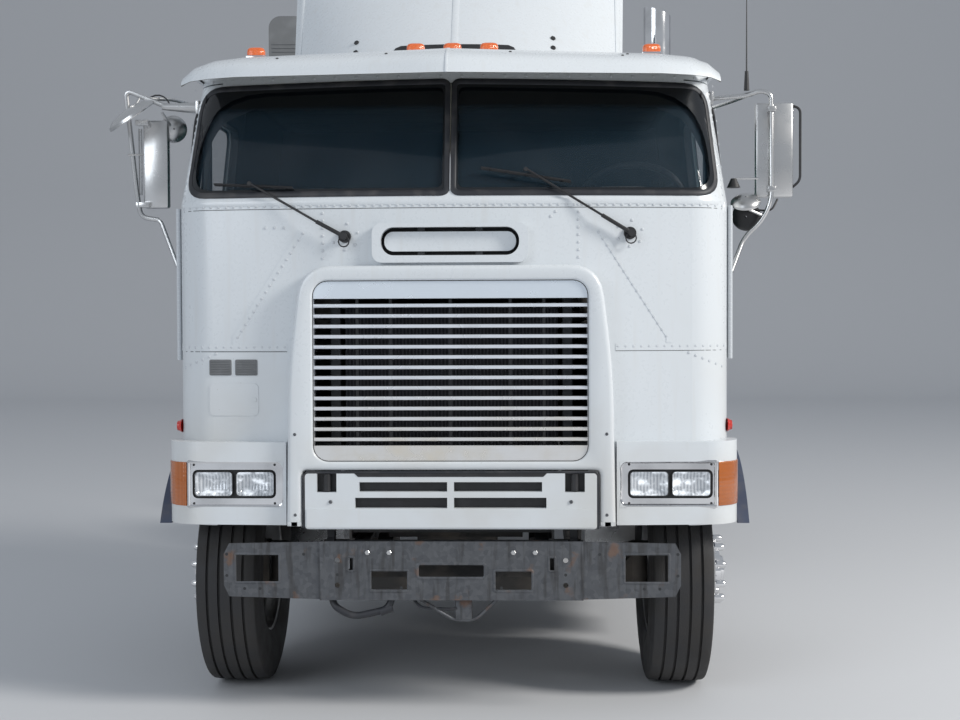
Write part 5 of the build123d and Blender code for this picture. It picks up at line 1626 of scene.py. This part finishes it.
def controls():
    """Steering wheel, instruments and gear lever."""
    centre, axis = Vector((0.8, FRONT + 0.632, 2.205)), Vector((0, 0.64, 0.7684))
    u, v = Vector((1, 0, 0)), axis.cross(Vector((1, 0, 0)))
    bm = bmesh.new()
    ring = [centre + (u * cos(2 * pi * k / 40) + v * sin(2 * pi * k / 40)) * 0.234 for k in range(40)]
    tube(bm, ring, 0.0155, 12, closed=True)
    for turn in (90, 210, 330):
        way = u * cos(radians(turn)) + v * sin(radians(turn))
        bar(bm, centre + way * 0.05 - axis * 0.004, centre + way * 0.228, 0.014, 10, 0.011)
    # columns: start and end along the axis, radius at each, sides, finish
    hub = ((-0.036, 0.012, 0.062, 0.05, 28, 0), (-0.09, -0.03, 0.024, 0.04, 20, 0),
           (0.010, 0.018, 0.036, 0.033, 24, 1))
    for a, b, r, r_end, sides, finish in hub:
        bar(bm, centre + axis * a, centre + axis * b, r, sides, r_end, finish)
    piece("steering_rim", bm, [INTERIOR, BLACK_TRIM], "steering_wheel",
          replaces=("steering_wheel",))
    bm = bmesh.new()
    out, up = Vector((0, 0.928, 0.371)), Vector((0, -0.371, 0.928))
    base = Vector((0, FRONT + 0.47, 2.035))
    # columns: x, height on the panel, radius
    dials = [(x, rise, 0.028) for x in (0.60, 0.93, 0.52) for rise in (0.035, -0.03)]
    for x, rise, r in [(0.70, 0.02, 0.052), (0.83, 0.02, 0.052), *dials]:
        at = base + Vector((x, 0, 0)) + up * rise
        bar(bm, at - out * 0.004, at + out * 0.008, r, 24)
        bar(bm, at + out * 0.006, at + out * 0.0095, r * 0.86, 24, finish=1)
        # the needle takes the reflector's painted glints, which glow
        bar(bm, at + out * 0.0095, at + out * 0.011 + up * r * 0.6, 0.0025, 5, 0.001, finish=2)
    for k in range(7):
        at = base + Vector((0.18 + 0.04 * k, 0, 0)) - up * 0.01
        block(bm, at - Vector((0.013, 0.004, 0.022)), at + Vector((0.013, 0.012, 0.022)), 0.003, finish=1)
    block(bm, (-0.95, FRONT + 0.485, 1.90), (-0.45, FRONT + 0.498, 1.995), 0.006)
    bent(bm, [(0.10, FRONT + 0.98, 1.66), (0.11, FRONT + 0.97, 1.78), (0.20, FRONT + 0.93, 2.02)], 0.08,
         0.009)
    boot = [(-0.06, 0.055), (-0.03, 0.045), (-0.02, 0.05), (0.0, 0.038), (0.012, 0.042), (0.03, 0.022),
            (0.05, 0.014)]
    turned(bm, boot, (0.10, FRONT + 0.98, 1.71), 24, "Z", finish=3)
    bar(bm, (0.19, FRONT + 0.934, 2.0), (0.205, FRONT + 0.927, 2.06), 0.019, 16, 0.022, finish=3)
    piece("instruments", bm, [GREY_TRIM, BLACK_TRIM, PAINTED_GLINT_REFLECTOR, RUBBER], "cab")


# Bumper channel and what hangs below it

def channel_details():
    """Rims, bolts and small holes of the bumper channel, the holes as black discs of painted shade, and the
    hoses seen below it.
    """
    # how far behind the front its middle and its ends lie
    middle, ends = 0.030, 0.038
    face = FRONT + middle
    rims, holes, hoses = (bmesh.new() for _ in range(3))
    # columns: centre x and z, width, height, depth
    openings = ((0.816, 0.631, 0.188, 0.121, ends), (0.26, 0.58, 0.16, 0.089, middle),
                (0.421, 0.65, 0.027, 0.06, middle))
    for side in (-1, 1):
        for x, z, w, h, d in openings:
            ring = rounded_box_outline(side * x - w / 2, side * x + w / 2, z - h / 2, z + h / 2, 0.006, 2)
            strip(rims, [ahead(u, v, d) for u, v in ring], bead_section(0.010, 0.0025), closed=True)
        x = side * 0.548
        block(rims, (x - 0.004, face - 0.001, 0.50), (x + 0.004, face + 0.010, 0.743), 0.002)
        for x, z, d in ((0.945, 0.69, ends), (0.945, 0.60, ends), (0.87, 0.545, ends), (0.805, 0.545, ends),
                        (0.62, 0.69, ends), (0.478, 0.605, middle), (0.21, 0.55, middle)):
            # painted shade: each small hole is a thin black disc on the face
            bar(holes, (side * x, FRONT + d + 0.001, z), (side * x, FRONT + d - 0.0006, z), 0.0065, 10)
    ring = rounded_box_outline(-0.142, 0.142, 0.591, 0.652, 0.012, 3)
    strip(rims, [ahead(u, v, middle) for u, v in ring], bead_section(0.012, 0.0025), closed=True)
    hook = ((-0.139, 0.02, 0.503), (0.007, 0.04, 0.4075), (0.099, 0.04, 0.4075), (0.193, 0.02, 0.503))
    bent(rims, [(x, face + off, z) for x, off, z in hook], 0.03, 0.007)
    block(rims, (0.015, face + 0.03, 0.41), (0.085, face + 0.075, 0.50), 0.004)
    piece("channel_rims", rims, SHADED_ZINC, "chassis")
    places = [ahead(side * x, 0.699, middle - SUNK) for side in (-1, 1) for x in (0.26, 0.351)]
    scattered("channel_bolts", hexagon(0.011, 0.008), places, STAINLESS, "chassis",
              smooth=False)
    piece("channel_small_holes", holes, PAINTED_SHADE_BLACK, "chassis")
    hose = [(-0.51, FRONT + 0.09, 0.53), (-0.50, FRONT + 0.06, 0.47), (-0.417, FRONT + 0.05, 0.423),
            (-0.265, FRONT + 0.05, 0.456), (-0.245, FRONT + 0.07, 0.53)]
    tube(hoses, rounded_path(hose, 0.06, 8), 0.015, 12)
    bar(hoses, (-0.30, FRONT + 0.05, 0.445), (-0.25, FRONT + 0.052, 0.463), 0.018, 12)
    line = [(-0.18, FRONT + 0.09, 0.53), (-0.14, FRONT + 0.06, 0.46), (0.0, FRONT + 0.06, 0.455),
            (0.02, FRONT + 0.06, 0.46)]
    bent(hoses, line, 0.05, 0.006)
    piece("air_hose_loops", hoses, RUBBER, "chassis")


# Chassis behind the cab

TANK_X, TANK_Z, TANK_R = 0.93, 0.66, 0.306
STACK_X, STACK_Y = 1.105, FRONT + 2.56
INTAKE_X = -1.01
POST_Y = FRONT + 2.50
COUPLING_Y, COUPLING_TOP = FRONT + 5.18, 1.22


def band_profile(r, thick, half):
    """A clamp or strap round a tube."""
    return [(-half, r), (-half, r + thick), (half, r + thick), (half, r)]


def tank_details():
    """Ends, skins, straps and caps of the tanks, treads of the steps and rivets of the boxes."""
    shells, treads = bmesh.new(), bmesh.new()
    end = ((-0.004, 0.306), (0.014, 0.302), (0.028, 0.265), (0.036, 0.18), (0.038, 0.001))
    strap = band_profile(TANK_R, 0.0045, 0.032)
    places = []
    for side in (-1, 1):
        x, cap_x = side * TANK_X, side * 0.99
        for d, way in ((1.85, -1), (3.15, 1)):
            turned(shells, end, (x, FRONT + d, TANK_Z), 56, "Y", way=way)
        turned(shells, [(-0.64, TANK_R + 0.0002), (0.64, TANK_R + 0.0002)], (x, FRONT + 2.5, TANK_Z), 56,
               "Y")
        for d in (2.13, 2.83):
            turned(shells, strap, (x, FRONT + d, TANK_Z), 56, "Y", finish=1)
            bar(shells, (side * 1.15, FRONT + d, 0.44), (side * 1.15, FRONT + d, 0.40), 0.012, 8, finish=1)
        bar(shells, (cap_x, FRONT + 1.98, 0.94), (cap_x, FRONT + 1.98, 0.99), 0.053, 28, finish=1)
        bar(shells, (cap_x, FRONT + 1.98, 0.99), (cap_x, FRONT + 1.98, 1.014), 0.062, 28, 0.056, finish=2)
        for z in (0.52, 0.79):
            block(treads, (side * 1.045, FRONT + 1.405, z - 0.0005),
                  (side * 1.198, FRONT + 1.76, z + 0.004), 0.001)
        block(treads, (side * 0.625, FRONT + 1.39, 1.0395), (side * 1.195, FRONT + 1.775, 1.044), 0.001)
        for z in (0.43, 0.505, 0.70, 0.775, 0.955, 1.03):
            places += [(Vector((side * 1.1998, FRONT + d, z)), Vector((side, 0, 0)))
                       for d, z in along([(1.39, z), (1.77, z)], 0.06)]
    piece("tank_shells", shells, [TANK_METAL, STAINLESS, CHROME], "chassis")
    piece("step_treads", treads, PLATE, "chassis")
    scattered("box_rivets", dome(0.006, 0.003, 6), places, STAINLESS, "chassis")


def stack_and_intake():
    """The muffler's heat shield, its piercings as black slots of painted shade, its clamps, and the intake's
    clamps and slots.
    """
    shield, intake = bmesh.new(), bmesh.new()
    centre = Vector((STACK_X, STACK_Y, 0))
    # painted shade: each piercing is a thin black slot standing on the shield
    for k in range(9):
        a = radians(-80 + 20 * k)
        for row in range(18):
            place = centre + Vector((0.1395 * cos(a), 0.1395 * sin(a), 1.25 + row * 0.066))
            turn = Matrix.Translation(place) @ Matrix.Rotation(a, 4, "Z")
            box(shield, turn @ Matrix.Diagonal((0.003, 0.036, 0.022, 1)), finish=1)
    turns = [radians(a) for a in range(-95, 96, 10)]
    rows = [[shield.verts.new(centre + Vector((0.138 * cos(a), 0.138 * sin(a), z))) for a in turns]
            for z in (1.2, 2.42)]
    joined(shield, rows, closed=False)
    for z in (1.14, 1.8, 2.46):
        turned(shield, band_profile(0.126, 0.0035, 0.012), (STACK_X, STACK_Y, z), 48, "Z")
    turned(shield, band_profile(0.081, 0.005, 0.02), (STACK_X, STACK_Y, 2.53), 48, "Z")
    piece("stack_shield", shield, [STAINLESS, BLACK_TRIM], "chassis")
    for z in (1.13, 1.62, 2.12):
        turned(intake, band_profile(0.190, 0.006, 0.014), (INTAKE_X, STACK_Y, z), 48, "Z")
    for k in range(14):
        z = 3.02 + 0.022 * k
        block(intake, (-1.17, STACK_Y - 0.064, z), (-0.99, STACK_Y - 0.058, z + 0.009), 0.002)
    piece("intake_bands", intake, GREY_TRIM, "chassis")


def behind_cab():
    """A post on the deck plate for a trailer's air lines: three couplings stowed on it, and no lines."""
    bm = bmesh.new()
    post = POST_Y
    bar(bm, (0, post, 1.01), (0, post, 2.03), 0.020, 16)
    block(bm, (-0.11, post - 0.014, 1.986), (0.11, post + 0.014, 2.014), 0.003)
    block(bm, (-0.07, post - 0.036, 1.008), (0.07, post + 0.05, 1.024), 0.003)
    for finish, x in ((1, -0.075), (2, 0.0), (2, 0.075)):
        bar(bm, (x, post + 0.010, 2.0), (x, post + 0.036, 2.0), 0.011, 12)
        profile = [(0.0, 0.012), (0.004, 0.030), (0.020, 0.033), (0.026, 0.030), (0.028, 0.016),
                   (0.024, 0.001)]
        turned(bm, profile, (x, post + 0.034, 2.0), 24, "Y", finish=finish)
    piece("line_post", bm, [BLACK_TRIM, RED, IRON], "chassis")


def tail():
    """Two red lamps on a box each side, and the bolts along the rails."""
    bm = bmesh.new()
    lens = [(0.0, 0.055), (0.012, 0.055), (0.018, 0.048), (0.022, 0.001)]
    for side in (-1, 1):
        for x in (0.60, 0.76):
            turned(bm, lens, (side * x, FRONT + 6.60, 0.86), 28, "Y", finish=1)
        block(bm, (side * 0.52, FRONT + 6.56, 0.79), (side * 0.84, FRONT + 6.60, 0.93), 0.01)
    piece("tail_lamps", bm, [FRAME_BLACK, RED], "chassis")
    rail = [0.5 + 0.22 * k for k in range(28)]
    places = [(Vector((side * 0.4321, FRONT + d, z)), Vector((side, 0, 0))) for side in (-1, 1)
              for d in rail
              for z in (0.78, 0.95) if not (1.30 < d < 1.8 or 2.05 < d < 2.2)]
    scattered("rail_bolts", hexagon(0.013, 0.009), places, FRAME_BLACK, "chassis",
              smooth=False)


def coupling():
    """Grease grooves, pivot caps and release handle of the fifth wheel, and the bolts of its base."""
    bm = bmesh.new()
    y, top = COUPLING_Y, COUPLING_TOP
    cap = [(0.0, 0.022), (0.004, 0.022), (0.006, 0.018), (0.006, 0.001)]
    for side in (-1, 1):
        turned(bm, cap, (side * 0.30, y - 0.28, top - 0.0035), 16, "Z")
        groove = [(side * 0.08, y - 0.30, top), (side * 0.25, y - 0.15, top), (side * 0.25, y + 0.18, top)]
        bent(bm, groove, 0.06, 0.0035, 6)
    bent(bm, [(0.33, y - 0.10, 1.16), (0.52, y - 0.12, 1.15), (0.60, y - 0.12, 1.15)], 0.03, 0.011)
    bent(bm, [(0.60, y - 0.09, 1.15), (0.63, y - 0.12, 1.15), (0.60, y - 0.15, 1.15)], 0.03, 0.009)
    piece("fifth_wheel_grooves", bm, IRON, "fifth_wheel")
    places = [(Vector((side * x, y + dy, 1.0142)), Vector((0, 0, 1))) for side in (-1, 1)
              for x in (0.34, 0.455)
              for dy in (-0.36, -0.22, 0.22, 0.36)]
    scattered("base_bolts", hexagon(0.014, 0.010), places, FRAME_BLACK, "chassis",
              smooth=False)


# Stage

def studio():
    """A pale floor that curves up into a wall behind the truck."""
    bm = bmesh.new()
    reach, rise, far, bend = 40.0, 14.0, 26.0, 5.0
    profile = [(-reach, 0.0), (far - bend, 0.0)]
    profile += [(far - bend + bend * sin(radians(a)), bend - bend * cos(radians(a)))
                for a in range(10, 91, 10)]
    profile.append((far, rise))
    joined(bm, [[bm.verts.new((x, y, z - 0.001)) for x in (-reach, reach)] for y, z in profile],
           closed=False)
    mesh = bpy.data.meshes.new("floor")
    bm.to_mesh(mesh)
    bm.free()
    floor = bpy.data.objects.new("floor", mesh)
    bpy.context.scene.collection.objects.link(floor)
    mesh.materials.append(Finish("pale_floor", (0.62, 0.63, 0.65), 0.85).material)
    for face in mesh.polygons:
        face.use_smooth = True


def lamp(name, place, aim, size, power, colour=(1, 1, 1)):
    data = bpy.data.lights.new(name, "AREA")
    data.shape, data.size, data.energy, data.color = "DISK", size, power, colour
    made = bpy.data.objects.new(name, data)
    bpy.context.scene.collection.objects.link(made)
    turn = (Vector(aim) - Vector(place)).to_track_quat("-Z", "Y").to_matrix().to_4x4()
    made.matrix_world = Matrix.Translation(place) @ turn


def light():
    world = bpy.data.worlds.new("studio")
    bpy.context.scene.world = world
    world.use_nodes = True
    sky = world.node_tree.nodes["Background"]
    sky.inputs["Color"].default_value = (0.86, 0.92, 1.0, 1.0)
    sky.inputs["Strength"].default_value = 0.45
    lamp("key", (12.0, -8.0, 9.0), (0, -2.5, 1.2), 4.0, 1850, (1.0, 0.97, 0.92))
    lamp("fill", (-8.0, -13.0, 6.0), (0, -2.5, 1.4), 8.0, 420, (0.88, 0.94, 1.0))


# The photo's camera: its place, lens and sensor in mm, and how it is turned, tipped and rolled in degrees
CAMERA_PLACE = (0.29, FRONT - 5.79, 1.657)
CAMERA_LENS, CAMERA_SENSOR = 52.5, 36.0
CAMERA_TURN, CAMERA_TIP, CAMERA_ROLL = 1.637, -1.514, -0.22


def camera():
    data = bpy.data.cameras.new("camera")
    data.sensor_width, data.lens, data.clip_end = CAMERA_SENSOR, CAMERA_LENS, 200
    made = bpy.data.objects.new("camera", data)
    bpy.context.scene.collection.objects.link(made)
    turn = Matrix.Rotation(radians(CAMERA_TURN), 4, "Z") @ Matrix.Rotation(radians(90 + CAMERA_TIP), 4, "X")
    roll = Matrix.Rotation(radians(CAMERA_ROLL), 4, "Z")
    made.matrix_world = Matrix.Translation(CAMERA_PLACE) @ turn @ roll
    bpy.context.scene.camera = made


for make in (camera, studio, light, dress_frame, windscreen_trim, wipers, headlamps, turn_lamps,
             marker_lamps, tyres, wheels, mirrors, front_rivets, side_sheets, door_trim, front_fittings,
             visor_sheet, roof_details, grille, grille_frame, lining, seating, controls, channel_details,
             tank_details, stack_and_intake, behind_cab, tail, coupling):
    make()
bpy.context.scene.view_settings.view_transform = "Standard"
